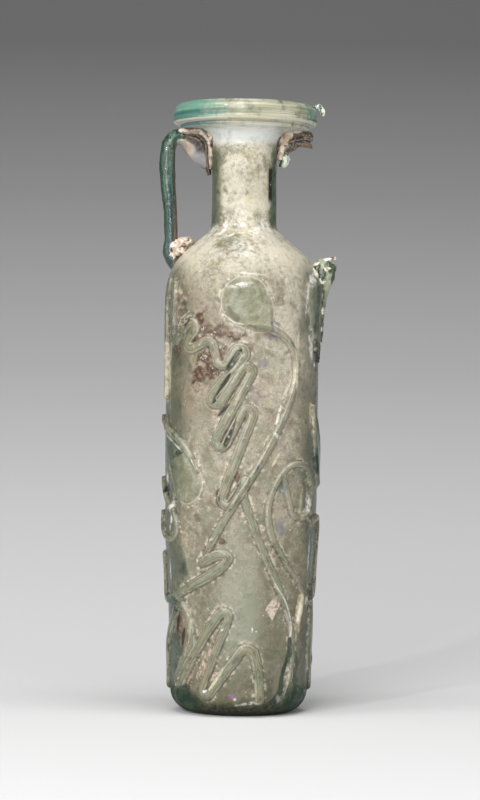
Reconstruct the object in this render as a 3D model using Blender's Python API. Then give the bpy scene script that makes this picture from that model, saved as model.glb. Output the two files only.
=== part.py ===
"""Glass alabastron: a slim blown flask with a collar rim and two applied handles, one of them broken
away. Snake-like glass trails and flat glass leaves are fused over its wall. The front faces -Y, the whole
handle is at -X, +Z is up and the origin is the middle of the underside. All the glass was joined hot, so
the flask is one solid, empty inside and open at the mouth."""

import math

import bmesh
import bpy
import numpy as np
from mathutils import Vector
from mathutils.geometry import delaunay_2d_cdt

MM = 0.001

# Flask, heights stacked from the underside up
BODY_HEIGHT = 146.4 * MM
SHOULDER_HEIGHT = 12.5 * MM
NECK_HEIGHT = 32.8 * MM
RIM_HEIGHT = 8.3 * MM
WIDEST_HEIGHT = 62.0 * MM

# Flask, outer radii
BASE_RADIUS = 22.5 * MM
BODY_RADIUS = 25.1 * MM
NECK_RADIUS = 10.7 * MM
RIM_RADIUS = 23.8 * MM

# Flask, roundings
BASE_ROUNDING = 8.5 * MM
SHOULDER_ROUNDING = 16.0 * MM
NECK_ROUNDING = 5.0 * MM
FLARE_ROUNDING = 6.5 * MM
ROLL_ROUNDING = 1.1 * MM

# Rim: a low fold set back below a tall collar that slopes in to the lip
FOLD_HEIGHT = 1.6 * MM
FOLD_SETBACK = 2.4 * MM
COLLAR_HEIGHT = 4.6 * MM
COLLAR_SLOPE = 1.9 * MM
LIP_WIDTH = 2.6 * MM
MOUTH_SLOPE = 1.9 * MM

# Glass thickness
BODY_WALL = 1.9 * MM
NECK_WALL = 2.0 * MM
BASE_WALL = 3.2 * MM
MOUTH_WALL = 1.9 * MM

# Applied trails and leaves: width where they meet the wall, and height above it
SNAKE_WIDTH = 3.2 * MM
SNAKE_SLIT = 0.4 * MM
STEM_WIDTH = 2.6 * MM
CURL_WIDTH = 2.1 * MM
CROWN_LEAF_WIDTH = 16.5 * MM
LEFT_LEAF_WIDTH = 14.0 * MM
RIGHT_LEAF_WIDTH = 10.0 * MM
LOW_LEAF_WIDTH = 8.4 * MM
BACK_LEAF_WIDTH = 9.6 * MM
STUB_LEAF_WIDTH = 13.0 * MM
TRAIL_RISE = 1.2 * MM
LEAF_RISE = 1.1 * MM
TRAIL_CROWN = 0.5
LEAF_CROWN = 0.82

# Handles: rods from the shoulder to the neck; of the right one two roots and a chip on the rim are left
HANDLE_THICKNESS = 4.7 * MM
HANDLE_DEPTH = 5.2 * MM
HANDLE_REACH = 25.6 * MM
FOOT_INSET = 3.1 * MM
ROOT_DROP = 14.0 * MM
STUB_REACH = 5.0 * MM
STUB_DEPTH = 7.0 * MM
CHIP_REACH = 2.3 * MM

# How finely the glass is faceted
SIDES = 36
ARC_STEP = math.radians(30)
ROW_STEP = 8.0 * MM
LINE_STEP = 0.8 * MM
LINE_SLACK = 0.2 * MM
TURN_STEP = math.radians(45)
CAP_STEP = 3.2 * MM
SHARP_TURN = math.radians(50)
SAME_TURN = math.radians(0.3)
CORNER_SHARE = 0.49
TRAIL_CLEARANCE = 1.0 * MM
MELT_GAP = 0.05 * MM
WELD_GAP = 0.005 * MM
ROD_SIDES = 10
SMOOTH_ANGLE = math.radians(40)

SHOULDER_TOP = BODY_HEIGHT + SHOULDER_HEIGHT
RIM_BOTTOM = SHOULDER_TOP + NECK_HEIGHT
RIM_TOP = RIM_BOTTOM + RIM_HEIGHT

# Places on the wall are (degrees round from the front towards +X, percent of the body's height).
SNAKE = [(-61, 95.5), (-62, 83.4), (-38, 86.9), (-43, 81.8), (-24, 82.9), (-15.5, 77.6), (0.5, 81.2)]
SNAKE += [(-20.5, 69.4), (5, 77.2), (-17, 59.8), (6, 68), (-12, 47.2), (3, 52.5)]
SNAKE_TAIL = [(3, 52.5), (3, 48), (17.5, 36.7), (39, 24.3), (46.5, 17.5), (46, 9.5), (39, 3)]
STEM = [(5, 86.6), (24.5, 85.2), (38, 82.2), (43.3, 77.2), (39.7, 71.2), (21, 59.8), (3, 50.8)]
STEM += [(-15, 42), (-30, 34)]
HOOK = [(-30, 34), (-17, 36), (-9, 35.2), (-18, 32.4), (-44, 28.3), (-70, 25.4), (-88, 26.6)]
HOOK += [(-93, 31), (-88, 35)]
CURL = [(33, 53.5), (36.5, 49.5), (43, 44.6), (58, 44.8), (64, 49), (58, 54.6), (43, 56), (30, 53.2)]
CURL += [(21.5, 47.4), (22.5, 41), (36, 34.6), (52, 29.4), (57, 25.8), (53, 21)]
LOW_SNAKE = [(-90, 6), (-85, 14), (-52, 24.6), (-40, 17.4), (-60, 7), (-10.5, 23.2), (-29, 5)]
LOW_SNAKE += [(7, 15.4), (17, 10), (17, 3.6)]
LEAF_STEM = [(-93, 66.5), (-80, 64.8), (-64, 62.8), (-48, 60.2), (-36, 56.4), (-28, 51.8)]
LEFT_LOOP = [(-92, 52.5), (-75, 48.3), (-60, 44.8), (-55, 41.2), (-64, 39), (-80, 40.2), (-92, 45)]
LEFT_TAIL = [(-70, 96.5), (-76, 92), (-78, 83), (-77, 71)]
RIGHT_LOOP = [(68, 43.4), (84, 43.6), (92, 39), (92, 31), (82, 26.6), (72, 28.4)]
CROWN_LEAF = [(20, 85.5), (-10, 96.2)]
LEFT_LEAF = [(-72, 64), (-38, 47.5)]
RIGHT_LEAF = [(66, 69), (92, 50.5)]
LOW_LEAF = [(76, 26), (86, 9.4)]
BACK_LEAF = [(236, 66), (246, 51)]
# The glass that the broken handle's lower root spread on the wall
STUB_LEAF = [(75, 79), (70, 98.5)]
# The wall is rolled out from this many degrees, in a gap between trails
SEAM = -99.5

# The whole handle as shares: reach from its foot to its full reach, height from the body's top to the
# rim, thickness
HANDLE_ROD = [(0.0, 0.0, 0.7), (0.43, 0.09, 1.05), (0.5, 0.22, 0.95), (0.57, 0.42, 0.93)]
HANDLE_ROD += [(0.86, 0.62, 1.05), (1.0, 0.76, 1.04), (0.93, 0.87, 1.0), (0.68, 0.925, 1.0)]
HANDLE_ROD += [(0.0, 0.955, 0.98)]
# A handle's upper root: reach from the neck to the elbow, height and half height as shares of its drop
ROOT = [(0.6, 0.76, 0.2), (0.43, 0.66, 0.29), (0.25, 0.55, 0.37), (0.0, 0.45, 0.43)]
ROOT_DEPTH = 0.42
# The lump at the whole handle's foot: reach as a share of the foot's; height above the middle of the
# shoulder, half height and half depth as shares of half the handle's thickness
FOOT_LUMP = [(1.07, -0.1, 0.9, 1.0), (0.954, 0.3, 1.2, 1.3), (0.815, 0.7, 0.8, 0.9)]
# The broken handle's lower root and its tail: reach past the wall as a share of the stub's, height above
# the body's top in handle thicknesses, half width and half depth as shares of the stub's
LOWER_ROOT = [(0.54, 0.5, 0.7, 0.43), (0.38, 0.04, 0.78, 0.49), (0.24, -0.81, 0.72, 0.49)]
LOWER_ROOT += [(0.1, -1.66, 0.52, 0.46), (0.02, -2.64, 0.4, 0.4), (-0.02, -3.9, 0.36, 0.36)]
LOWER_ROOT += [(-0.18, -6.4, 0.2, 0.2)]
# The broken end of its upper root, in handle thicknesses in from the rim, below it and across
UPPER_BREAK = [(0.43, 0.53, 0.55, 0.55), (0.91, 0.62, 0.66, 0.62)]
# The chip of it on the rim, in chip reaches: past the rim, below its top, half thickness and half depth
RIM_CHIP = [(-0.8, 0.9, 0.45, 0.6), (0.3, 0.3, 0.45, 0.6), (0.62, 0.8, 0.4, 0.5), (0.7, 1.5, 0.3, 0.35)]


def turned_corner(back, here, ahead, rounding):
    """Points of an arc of that rounding, in place of a corner of an outline."""
    turn = math.pi - (back - here).angle(ahead - here)
    reach = rounding * math.tan(turn / 2)
    reach = min(reach, CORNER_SHARE * (back - here).length, CORNER_SHARE * (ahead - here).length)
    start = here + (back - here).normalized() * reach
    end = here + (ahead - here).normalized() * reach
    steps = max(1, math.ceil((turn - SAME_TURN) / ARC_STEP))
    arc = []
    for k in range(steps + 1):
        t = k / steps
        weights = ((1 - t) ** 2, 2 * t * (1 - t) * math.cos(turn / 2), t**2)
        arc.append((start * weights[0] + here * weights[1] + end * weights[2]) / sum(weights))
    return arc


def rounded(corners):
    """An outline of (radius, height, rounding) corners, with its corners turned into arcs."""
    points = [Vector(corner[:2]) for corner in corners]
    outline = [points[0]]
    for i in range(1, len(points) - 1):
        rounding = corners[i][2]
        if rounding:
            outline += turned_corner(points[i - 1], points[i], points[i + 1], rounding)
        else:
            outline.append(points[i])
    return [*outline, points[-1]]


def outer_outline():
    """The flask's outside, from the middle of the underside over the wall and the rim to the axis again."""
    fold_radius = RIM_RADIUS - FOLD_SETBACK
    collar_foot = RIM_BOTTOM + FOLD_HEIGHT
    return rounded(
        [
            (0, 0, 0),
            (BASE_RADIUS, 0, BASE_ROUNDING),
            (BODY_RADIUS, WIDEST_HEIGHT, 0),
            (BODY_RADIUS, BODY_HEIGHT, SHOULDER_ROUNDING),
            (NECK_RADIUS, SHOULDER_TOP, NECK_ROUNDING),
            (NECK_RADIUS, RIM_BOTTOM, FLARE_ROUNDING),
            (fold_radius, RIM_BOTTOM, 0),
            (fold_radius, collar_foot, 0),
            (RIM_RADIUS, collar_foot, ROLL_ROUNDING),
            (RIM_RADIUS, collar_foot + COLLAR_HEIGHT, ROLL_ROUNDING),
            (RIM_RADIUS - COLLAR_SLOPE, RIM_TOP, ROLL_ROUNDING),
            (0, RIM_TOP, 0),
        ]
    )


def cavity_outline():
    """The hollow inside, from the middle of its floor up through the neck and out of the mouth."""
    lip_radius = RIM_RADIUS - COLLAR_SLOPE - LIP_WIDTH
    throat = RIM_BOTTOM + MOUTH_WALL
    return rounded(
        [
            (0, BASE_WALL, 0),
            (BASE_RADIUS - BODY_WALL, BASE_WALL, BASE_ROUNDING - BODY_WALL),
            (BODY_RADIUS - BODY_WALL, WIDEST_HEIGHT, 0),
            (BODY_RADIUS - BODY_WALL, BODY_HEIGHT - BODY_WALL / 2, SHOULDER_ROUNDING - BODY_WALL),
            (NECK_RADIUS - NECK_WALL, SHOULDER_TOP - BODY_WALL / 2, NECK_ROUNDING + NECK_WALL),
            (NECK_RADIUS - NECK_WALL, throat, FLARE_ROUNDING + MOUTH_WALL),
            (lip_radius - MOUTH_SLOPE, throat + FOLD_HEIGHT, ROLL_ROUNDING),
            (lip_radius, RIM_TOP, 0),
            (lip_radius + MOUTH_SLOPE, RIM_TOP + LIP_WIDTH, 0),
            (0, RIM_TOP + LIP_WIDTH, 0),
        ]
    )


def guide(name, mesh):
    """An object that only shapes the flask and isn't a piece of its own."""
    made = bpy.data.objects.new(name, mesh)
    made.hide_render = True
    made.display_type = "WIRE"
    return made


def skin(bm, rings):
    """Faces over a row of rings, each joined to the next. A ring of one point is a pole."""
    rows = [[bm.verts.new(point) for point in ring] for ring in rings]
    for low, high in zip(rows, rows[1:]):
        count = max(len(low), len(high))
        for i in range(count):
            j = (i + 1) % count
            if len(low) == 1:
                bm.faces.new((low[0], high[j], high[i]))
            elif len(high) == 1:
                bm.faces.new((low[i], low[j], high[0]))
            else:
                bm.faces.new((low[i], low[j], high[j], high[i]))
    return rows


def finished(name, bm):
    """A mesh of what was built, its faces pointing out."""
    bmesh.ops.recalc_face_normals(bm, faces=bm.faces)
    mesh = bpy.data.meshes.new(name)
    bm.to_mesh(mesh)
    bm.free()
    return mesh


def ring(radius, height):
    """A turned ring of points, the first one at the seam of the rolled-out wall, or one on the axis."""
    if radius == 0:
        return [Vector((0, 0, height))]
    angles = [math.radians(SEAM) + 2 * math.pi * i / SIDES for i in range(SIDES)]
    return [Vector((radius * math.sin(a), -radius * math.cos(a), height)) for a in angles]


def rolled_out(places):
    """Places on the wall as points of the wall rolled out flat, in metres."""
    per_degree, per_percent = BODY_RADIUS * math.radians(1), BODY_HEIGHT / 100
    return [Vector((degrees * per_degree, percent * per_percent)) for degrees, percent in places]


def on_wall(point, outline, rise=0):
    """The point at a rise above a point of the rolled-out wall."""
    for low, high in zip(outline[1:], outline[2:]):
        if low.y <= point.y <= high.y:
            break
    else:
        raise ValueError("a trail runs off the wall")
    radius = low.x + (high.x - low.x) * (point.y - low.y) / (high.y - low.y)
    slope = (high - low).normalized()
    angle = point.x / BODY_RADIUS
    away = Vector((math.sin(angle), -math.cos(angle), 0))
    return away * (radius + slope.y * rise) + Vector((0, 0, point.y - slope.x * rise))


def flowing(points):
    """A smooth line through the points, in short steps (a Catmull-Rom spline)."""
    ends = [2 * points[0] - points[1], *points, 2 * points[-1] - points[-2]]
    line = []
    for a, b, c, d in zip(ends, ends[1:], ends[2:], ends[3:]):
        steps = max(1, round((c - b).length / LINE_STEP))
        for t in (k / steps for k in range(steps)):
            bend = (2 * a - 5 * b + 4 * c - d) * t**2 + (3 * b - a - 3 * c + d) * t**3
            line.append(0.5 * (2 * b + (c - a) * t + bend))
    return [*line, points[-1]]


def cross(a, b):
    """More than nothing where b turns left of a."""
    return a.x * b.y - a.y * b.x


def looped(points, radius):
    """A line drawn tight over pegs: straight legs, and round turns with their far sides at the points."""
    pegs = [(points[0], 0.0)]
    for before, here, after in zip(points, points[1:], points[2:]):
        inward = ((before - here).normalized() + (after - here).normalized()).normalized()
        side = math.copysign(radius, cross(here - before, after - here))
        pegs.append((here + inward * radius, side))
    pegs.append((points[-1], 0.0))
    headings = []
    for (here, side), (there, next_side) in zip(pegs, pegs[1:]):
        leg = there - here
        headings.append(math.atan2(leg.y, leg.x) + math.asin((side - next_side) / leg.length))
    line = [points[0]]
    for (centre, side), arriving, leaving in zip(pegs[1:], headings, headings[1:]):
        turn = (leaving - arriving) % math.copysign(2 * math.pi, side)
        steps = max(1, math.ceil(abs(turn) / TURN_STEP))
        arc = [arriving + turn * k / steps for k in range(steps + 1)]
        arc = [centre + Vector((math.sin(heading), -math.cos(heading))) * side for heading in arc]
        line += [*stepped(line[-1], arc[0]), *arc]
    return [*line, *stepped(line[-1], points[-1]), points[-1]]


def stepped(start, end):
    """Points in short steps between two points, without either."""
    steps = max(1, round((end - start).length / LINE_STEP))
    return [start.lerp(end, k / steps) for k in range(1, steps)]


def stretches(line):
    """The line cut at its sharp turns."""
    parts = [[line[0]]]
    for before, here, after in zip(line, line[1:], line[2:]):
        parts[-1].append(here)
        if (here - before).angle(after - here) > SHARP_TURN:
            parts.append([here])
    parts[-1].append(line[-1])
    return parts


def simplified(line, outline):
    """The line without the points that lie within LINE_SLACK of the straight run past them, on the wall."""
    seats = [on_wall(point, outline) for point in line]
    run = seats[-1] - seats[0]
    gaps = [0.0]
    for seat in seats[1:-1]:
        share = min(max((seat - seats[0]).dot(run) / run.length_squared, 0), 1)
        gaps.append((seat - seats[0] - run * share).length)
    worst = max(gaps)
    if worst <= LINE_SLACK:
        return [line[0], line[-1]]
    at = gaps.index(worst)
    return simplified(line[: at + 1], outline)[:-1] + simplified(line[at:], outline)


class Applied:
    """Glass applied to the wall: a line on the rolled-out wall, its half width at each point, its rise,
    and the share of its width that stands at that rise."""

    def __init__(self, line, halves, rise, crown):
        self.line, self.halves, self.rise, self.crown = line, halves, rise, crown

    def border(self, share):
        """The closed line round it at a share of its half width, with round ends."""
        before = [self.line[0], *self.line[:-1]]
        after = [*self.line[1:], self.line[-1]]
        runs = [(b - a).normalized() for a, b in zip(before, after)]
        left, right = [], []
        for point, run, half in zip(self.line, runs, self.halves):
            across = Vector((-run.y, run.x)) * half * share
            left.append(point + across)
            right.append(point - across)
        far = self.cap(self.line[-1], runs[-1], self.halves[-1] * share)
        near = self.cap(self.line[0], -runs[0], self.halves[0] * share)
        return [*left, *far, *reversed(right), *near]

    def cap(self, centre, run, half):
        """The points of a round end, from the left of the run to its right, without the outermost two."""
        steps = max(3, round(math.pi * half / CAP_STEP))
        across = Vector((-run.y, run.x))
        turns = [math.pi * k / steps for k in range(1, steps)]
        return [centre + (across * math.cos(t) + run * math.sin(t)) * half for t in turns]


def trail(line, width, outline):
    """A trail of one width: a piece of applied glass for each stretch between sharp turns."""
    made = []
    for stretch in stretches(line):
        kept = simplified(stretch, outline)
        made.append(Applied(kept, [width / 2] * len(kept), TRAIL_RISE, TRAIL_CROWN))
    return made


def leaf(places, width):
    """A drop of glass pressed flat on the wall, pointed at its tip and round at its end."""
    tip, end = rolled_out(places)
    middle = end + (tip - end).normalized() * width / 2
    swelling = ((0, 0.1), (0.35, 0.55), (0.7, 0.88), (1, 1))
    line = [tip.lerp(middle, along) for along, share in swelling]
    return Applied(line, [width / 2 * share for along, share in swelling], LEAF_RISE, LEAF_CROWN)


def turned(line, degrees):
    """A rolled-out line moved that many degrees round the wall."""
    return [point + Vector((BODY_RADIUS * math.radians(degrees), 0)) for point in line]


def applied_glass(outline):
    """Every trail and leaf. The back repeats the front's long trails half a turn round, and less besides."""
    made = []
    for half_turn in (0, 180):
        for places in (SNAKE, LOW_SNAKE):
            line = looped(rolled_out(places), (SNAKE_WIDTH + SNAKE_SLIT) / 2)
            made += trail(turned(line, half_turn), SNAKE_WIDTH, outline)
        for places in (SNAKE_TAIL, STEM):
            made += trail(turned(flowing(rolled_out(places)), half_turn), STEM_WIDTH, outline)
        made += trail(turned(flowing(rolled_out(CURL)), half_turn), CURL_WIDTH, outline)
    for places, width in ((HOOK, SNAKE_WIDTH), (LEFT_TAIL, SNAKE_WIDTH), (RIGHT_LOOP, STEM_WIDTH)):
        made += trail(flowing(rolled_out(places)), width, outline)
    for places in (LEAF_STEM, LEFT_LOOP):
        made += trail(flowing(rolled_out(places)), CURL_WIDTH, outline)
    made += [leaf(CROWN_LEAF, CROWN_LEAF_WIDTH), leaf(LEFT_LEAF, LEFT_LEAF_WIDTH)]
    made += [leaf(RIGHT_LEAF, RIGHT_LEAF_WIDTH), leaf(LOW_LEAF, LOW_LEAF_WIDTH)]
    return [*made, leaf(BACK_LEAF, BACK_LEAF_WIDTH), leaf(STUB_LEAF, STUB_LEAF_WIDTH)]


class Relief:
    """How high the applied glass stands at any point of the rolled-out wall."""

    def __init__(self, pieces):
        lap = 2 * math.pi * BODY_RADIUS
        rows = []
        for piece in pieces:
            parts = zip(piece.line, piece.line[1:], piece.halves, piece.halves[1:])
            for a, b, half_a, half_b in parts:
                for turn in (-lap, 0, lap):
                    ends = (a.x + turn, a.y, b.x + turn, b.y)
                    rows.append((*ends, half_a, half_b, piece.rise, piece.crown))
        self.rows = np.array(rows).T

    def spread(self, point):
        """How far the point lies from the middle of every stretch, and the half width of the glass there."""
        ax, ay, bx, by, half_a, half_b = self.rows[:6]
        dx, dy = bx - ax, by - ay
        t = np.clip(((point.x - ax) * dx + (point.y - ay) * dy) / (dx**2 + dy**2), 0, 1)
        return np.hypot(point.x - ax - t * dx, point.y - ay - t * dy), half_a + t * (half_b - half_a)

    def height(self, point):
        """The rise of the highest glass over the point."""
        gap, half = self.spread(point)
        rise, crown = self.rows[6:]
        return float(np.max(rise * np.clip((1 - gap / half) / (1 - crown), 0, 1)))

    def clearance(self, point):
        """How far the point lies outside the nearest glass."""
        gap, half = self.spread(point)
        return float(np.min(gap - half))


def wrapped(a, b, left, lap):
    """The edge a-b brought into the rolled-out wall, in two parts where it crosses the seam."""
    turns_a, turns_b = math.floor((a.x - left) / lap), math.floor((b.x - left) / lap)
    if turns_a == turns_b:
        shift = Vector((turns_a * lap, 0))
        return [(a - shift, b - shift)]
    seam = left + max(turns_a, turns_b) * lap
    cut = a.lerp(b, (seam - a.x) / (b.x - a.x))
    parts = []
    for end, turns in ((a, turns_a), (b, turns_b)):
        edge = left + lap if turns < max(turns_a, turns_b) else left
        parts.append((end - Vector((turns * lap, 0)), Vector((edge, cut.y))))
    return parts


def body_wall(outline, first, last):
    """The wall with its relief, from one row of the outline to another: points in space, and triangles."""
    pieces = applied_glass(outline)
    relief = Relief(pieces)
    lap = 2 * math.pi * BODY_RADIUS
    left = BODY_RADIUS * math.radians(SEAM)
    low, high = outline[first].y, outline[last].y
    points, edges = [], []

    def add_edge(a, b):
        edges.append((len(points), len(points) + 1))
        points.extend((a, b))

    rows = [outline[first].y]
    for corner in outline[first + 1 : last + 1]:
        gap = corner.y - rows[-1]
        steps = max(1, round(gap / ROW_STEP))
        rows += [rows[-1] + gap / steps * (k + 1) for k in range(steps)]
    for j, row in enumerate(rows):
        at_border = row in (low, high)
        stagger = 0 if at_border else (j % 2) / 2
        for i in range(SIDES):
            point = Vector((left + (i + stagger) * lap / SIDES, row))
            if at_border or relief.clearance(point) > TRAIL_CLEARANCE:
                points.append(point)
    for before, after in zip(rows, rows[1:]):
        add_edge(Vector((left, before)), Vector((left, after)))
        add_edge(Vector((left + lap, before)), Vector((left + lap, after)))
    for piece in pieces:
        for share in (1, piece.crown):
            border = piece.border(share)
            for a, b in zip(border, [*border[1:], border[0]]):
                for start, end in wrapped(a, b, left, lap):
                    add_edge(start, end)
    flat, used, faces = delaunay_2d_cdt(points, edges, [], 0, MELT_GAP)[:3]
    return [on_wall(point, outline, relief.height(point)) for point in flat], faces


def rod(name, stations, side):
    """A bent rod in the XZ plane through stations: reach, height, half width across the run, half depth."""
    centres = [Vector((side * reach, 0, height)) for reach, height, _, _ in stations]
    rings = []
    for i, (_, _, high, deep) in enumerate(stations):
        run = (centres[min(i + 1, len(centres) - 1)] - centres[max(i - 1, 0)]).normalized()
        across = Vector((-run.z, 0, run.x)) * high
        inward = Vector((0, deep, 0))
        turns = [2 * math.pi * k / ROD_SIDES for k in range(ROD_SIDES)]
        rings.append([centres[i] + across * math.cos(t) + inward * math.sin(t) for t in turns])
    bm = bmesh.new()
    rows = skin(bm, rings)
    for end in (rows[0], rows[-1]):
        bm.faces.new(end)
    return guide(name, finished(name, bm))


def upper_root():
    """Stations of the folded glass that joins a handle to the neck and the underside of the rim."""
    neck = NECK_RADIUS - NECK_WALL / 4
    stations = []
    for reach, height, half in ROOT:
        out = neck + reach * (HANDLE_REACH - neck)
        up = RIM_BOTTOM - (1 - height) * ROOT_DROP
        stations.append((out, up, half * ROOT_DROP, ROOT_DEPTH * HANDLE_DEPTH))
    return stations


def whole_handle(side):
    """The rod handle, from the shoulder up and over to the neck, and the lump at its foot."""
    foot = BODY_RADIUS - FOOT_INSET
    half, half_depth = HANDLE_THICKNESS / 2, HANDLE_DEPTH / 2
    run = []
    for reach, height, thick in HANDLE_ROD:
        out = foot + reach * (HANDLE_REACH - foot)
        up = BODY_HEIGHT + height * (RIM_BOTTOM - BODY_HEIGHT)
        run.append((out, up, thick * half, thick * half_depth))
    lump = []
    for reach, height, high, deep in FOOT_LUMP:
        up = BODY_HEIGHT + SHOULDER_HEIGHT / 2 + height * half
        lump.append((reach * foot, up, high * half, deep * half))
    return [rod("handle", [*run, *upper_root()], side), rod("foot_lump", lump, side)]


def broken_handle(side):
    """What is left of the other handle: its two roots, a flat tail down the wall and a chip on the rim."""
    lower = []
    for reach, height, wide, deep in LOWER_ROOT:
        out = BODY_RADIUS + reach * STUB_REACH
        lower.append((out, BODY_HEIGHT + height * HANDLE_THICKNESS, wide * STUB_REACH, deep * STUB_DEPTH))
    upper = []
    for inset, drop, high, deep in UPPER_BREAK:
        out = RIM_RADIUS - inset * HANDLE_THICKNESS
        up = RIM_BOTTOM - drop * HANDLE_THICKNESS
        upper.append((out, up, high * HANDLE_THICKNESS, deep * HANDLE_THICKNESS))
    chip = []
    for reach, drop, high, deep in RIM_CHIP:
        out = RIM_RADIUS + reach * CHIP_REACH
        chip.append((out, RIM_TOP - drop * CHIP_REACH, high * CHIP_REACH, deep * CHIP_REACH))
    upper += upper_root()[1:]
    return [rod("lower_root", lower, side), rod("upper_root", upper, side), rod("rim_chip", chip, side)]


def blown_glass(outline):
    """The flask as if it were solid: its foot, its wall with the relief, and its shoulder, neck and rim."""
    bm = bmesh.new()
    first = next(i for i, corner in enumerate(outline) if corner.y > 0)
    last = next(i for i, corner in enumerate(outline) if corner.y > BODY_HEIGHT)
    skin(bm, [ring(*corner) for corner in outline[: first + 1]])
    skin(bm, [ring(*corner) for corner in outline[last:]])
    points, faces = body_wall(outline, first, last)
    corners = [bm.verts.new(point) for point in points]
    for face in faces:
        bm.faces.new([corners[i] for i in face])
    bmesh.ops.remove_doubles(bm, verts=bm.verts, dist=WELD_GAP)
    return finished("flask", bm)


def cavity(outline):
    """The hollow, as a turned solid to cut away."""
    bm = bmesh.new()
    skin(bm, [ring(*corner) for corner in outline])
    return guide("cavity", finished("cavity", bm))


def glass():
    """Pale green blown glass under a film of weathering."""
    made = bpy.data.materials.new("weathered_glass")
    made.use_nodes = True
    shader = made.node_tree.nodes["Principled BSDF"]
    shader.inputs["Base Color"].default_value = (0.42, 0.44, 0.34, 1.0)
    shader.inputs["Roughness"].default_value = 0.3
    shader.inputs["Metallic"].default_value = 0.0
    return made


def cut_or_fuse(target, name, pieces, operation):
    """Adds to or takes from the target all the guides at once."""
    group = bpy.data.collections.new(name)
    bpy.context.scene.collection.children.link(group)
    for piece in pieces:
        group.objects.link(piece)
    step = target.modifiers.new(name, "BOOLEAN")
    step.operation = operation
    step.solver = "EXACT"
    step.operand_type = "COLLECTION"
    step.collection = group


def main():
    for old in list(bpy.data.objects):
        bpy.data.objects.remove(old)
    flask = bpy.data.objects.new("flask", blown_glass(outer_outline()))
    bpy.context.scene.collection.objects.link(flask)
    flask.data.materials.append(glass())
    cut_or_fuse(flask, "handles", [*whole_handle(-1), *broken_handle(1)], "UNION")
    cut_or_fuse(flask, "hollow", [cavity(cavity_outline())], "DIFFERENCE")
    flask.data.shade_smooth()
    flask.data.set_sharp_from_angle(angle=SMOOTH_ANGLE)


main()
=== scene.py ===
"""Glass alabastron: the blown wall with its snake-like trails, the whole handle, the broken one and the soil
and film that burial left on the glass. Metres, +Z up, the front faces -Y."""

import math

import bmesh
import bpy
import numpy as np
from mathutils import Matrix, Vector, noise


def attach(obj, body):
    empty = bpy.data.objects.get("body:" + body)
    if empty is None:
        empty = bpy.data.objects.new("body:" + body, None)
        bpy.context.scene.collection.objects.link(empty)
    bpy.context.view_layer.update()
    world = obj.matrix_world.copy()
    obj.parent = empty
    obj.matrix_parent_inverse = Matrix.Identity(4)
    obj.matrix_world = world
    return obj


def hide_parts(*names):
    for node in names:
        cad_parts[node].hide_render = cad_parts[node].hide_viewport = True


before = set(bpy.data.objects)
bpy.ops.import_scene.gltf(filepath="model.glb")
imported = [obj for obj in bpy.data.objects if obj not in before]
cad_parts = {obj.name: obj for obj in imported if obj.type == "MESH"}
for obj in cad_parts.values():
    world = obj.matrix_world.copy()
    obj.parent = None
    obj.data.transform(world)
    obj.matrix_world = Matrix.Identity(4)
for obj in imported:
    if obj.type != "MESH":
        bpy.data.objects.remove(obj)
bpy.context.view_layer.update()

MM = 0.001

# Flask: outside corners as (radius, height, rounding) in millimetres
OUTSIDE = [
    (0, 0, 0), (22.4, 0, 8.5), (22.6, 15, 0), (23.5, 36.5, 0), (24.9, 60, 0), (25.1, 99, 0),
    (25.1, 146.4, 16), (10.7, 158.9, 5), (10.5, 176, 0), (10.7, 191.7, 6.5), (21.1, 191.7, 0.5),
    (21.4, 193.3, 0.3), (23.7, 193.4, 1.0), (23.7, 195.3, 0), (23.3, 195.6, 0), (23.6, 196.0, 0),
    (23.5, 198.3, 1.3), (21.7, 200.0, 0.9), (19.6, 199.8, 0.8),
]
# Mouth and hollow, from the lip down
INSIDE = [
    (19.6, 199.8, 0.8), (17.2, 195.2, 2.5), (8.7, 193.4, 8), (8.7, 158.4, 6), (23.2, 145.4, 14),
    (23.2, 60, 0), (20.8, 3.2, 6.6), (0, 3.2, 0),
]
CORNER_SHARE = 0.49
ARC_STEP = math.radians(4)
BODY_RADIUS = 25.1 * MM
BODY_HEIGHT = 146.4 * MM
NECK_FOOT = 159 * MM
# Over these heights the wall's relief fades in at the foot and out at the shoulder, and the rim leans.
FOOT_FADE = (1.0 * MM, 6 * MM)
SHOULDER_FADE = (141 * MM, 147 * MM)
LEANING = (180 * MM, 192 * MM)
RIM_LEAN = math.radians(-0.6)
# Pieces of the outside, from the foot up, and where each ends in millimetres
WALL_PIECES = [
    ("foot_and_wall", 37), ("lower_wall", 74), ("middle_wall", 111), ("upper_wall", 147),
    ("neck_and_rim", 201),
]

# How finely the surface is divided
COLUMNS = 600
INSIDE_COLUMNS = 96
ROW_STEP = 0.3 * MM
PLAIN_ROW_STEP = 0.5 * MM
INSIDE_ROW_STEP = 1.5 * MM
LINE_STEP = 0.7 * MM
OUTLINE_SAMPLES = 4000
TURN_STEP = math.radians(15)
SPECKLE_ROWS, SPECKLE_START = 1024, 300

# Trails and leaves
SNAKE_WIDTH = 3.2 * MM
SNAKE_SLIT = 0.4 * MM
STEM_WIDTH = 2.5 * MM
CURL_WIDTH = 2.1 * MM
TRAIL_RISE = 1.25 * MM
LEAF_RISE = 1.1 * MM
RIDE_OVER = 0.45
DRAWN_POINTS = 12
THIN_END = 0.35
HAND_WAVER = 0.16
TRAIL_FLATNESS = 2.8
# Shares of the half width: a leaf's border, its dimple, where its tint ends, and a trail's
LEAF_BORDER, LEAF_DIMPLE, LEAF_TINT, THREAD_SPREAD = (0.6, 1.06), (0.2, 0.7), (0.8, 1.0), 1.25
LEAF_DIMPLE_DEPTH = 0.16
# Distances from a trail are worked out this far past its border, and are FAR past that
FIELD_MARGIN = 4 * MM
FAR_SHARE, FAR = 9.0, 1.0
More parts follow.
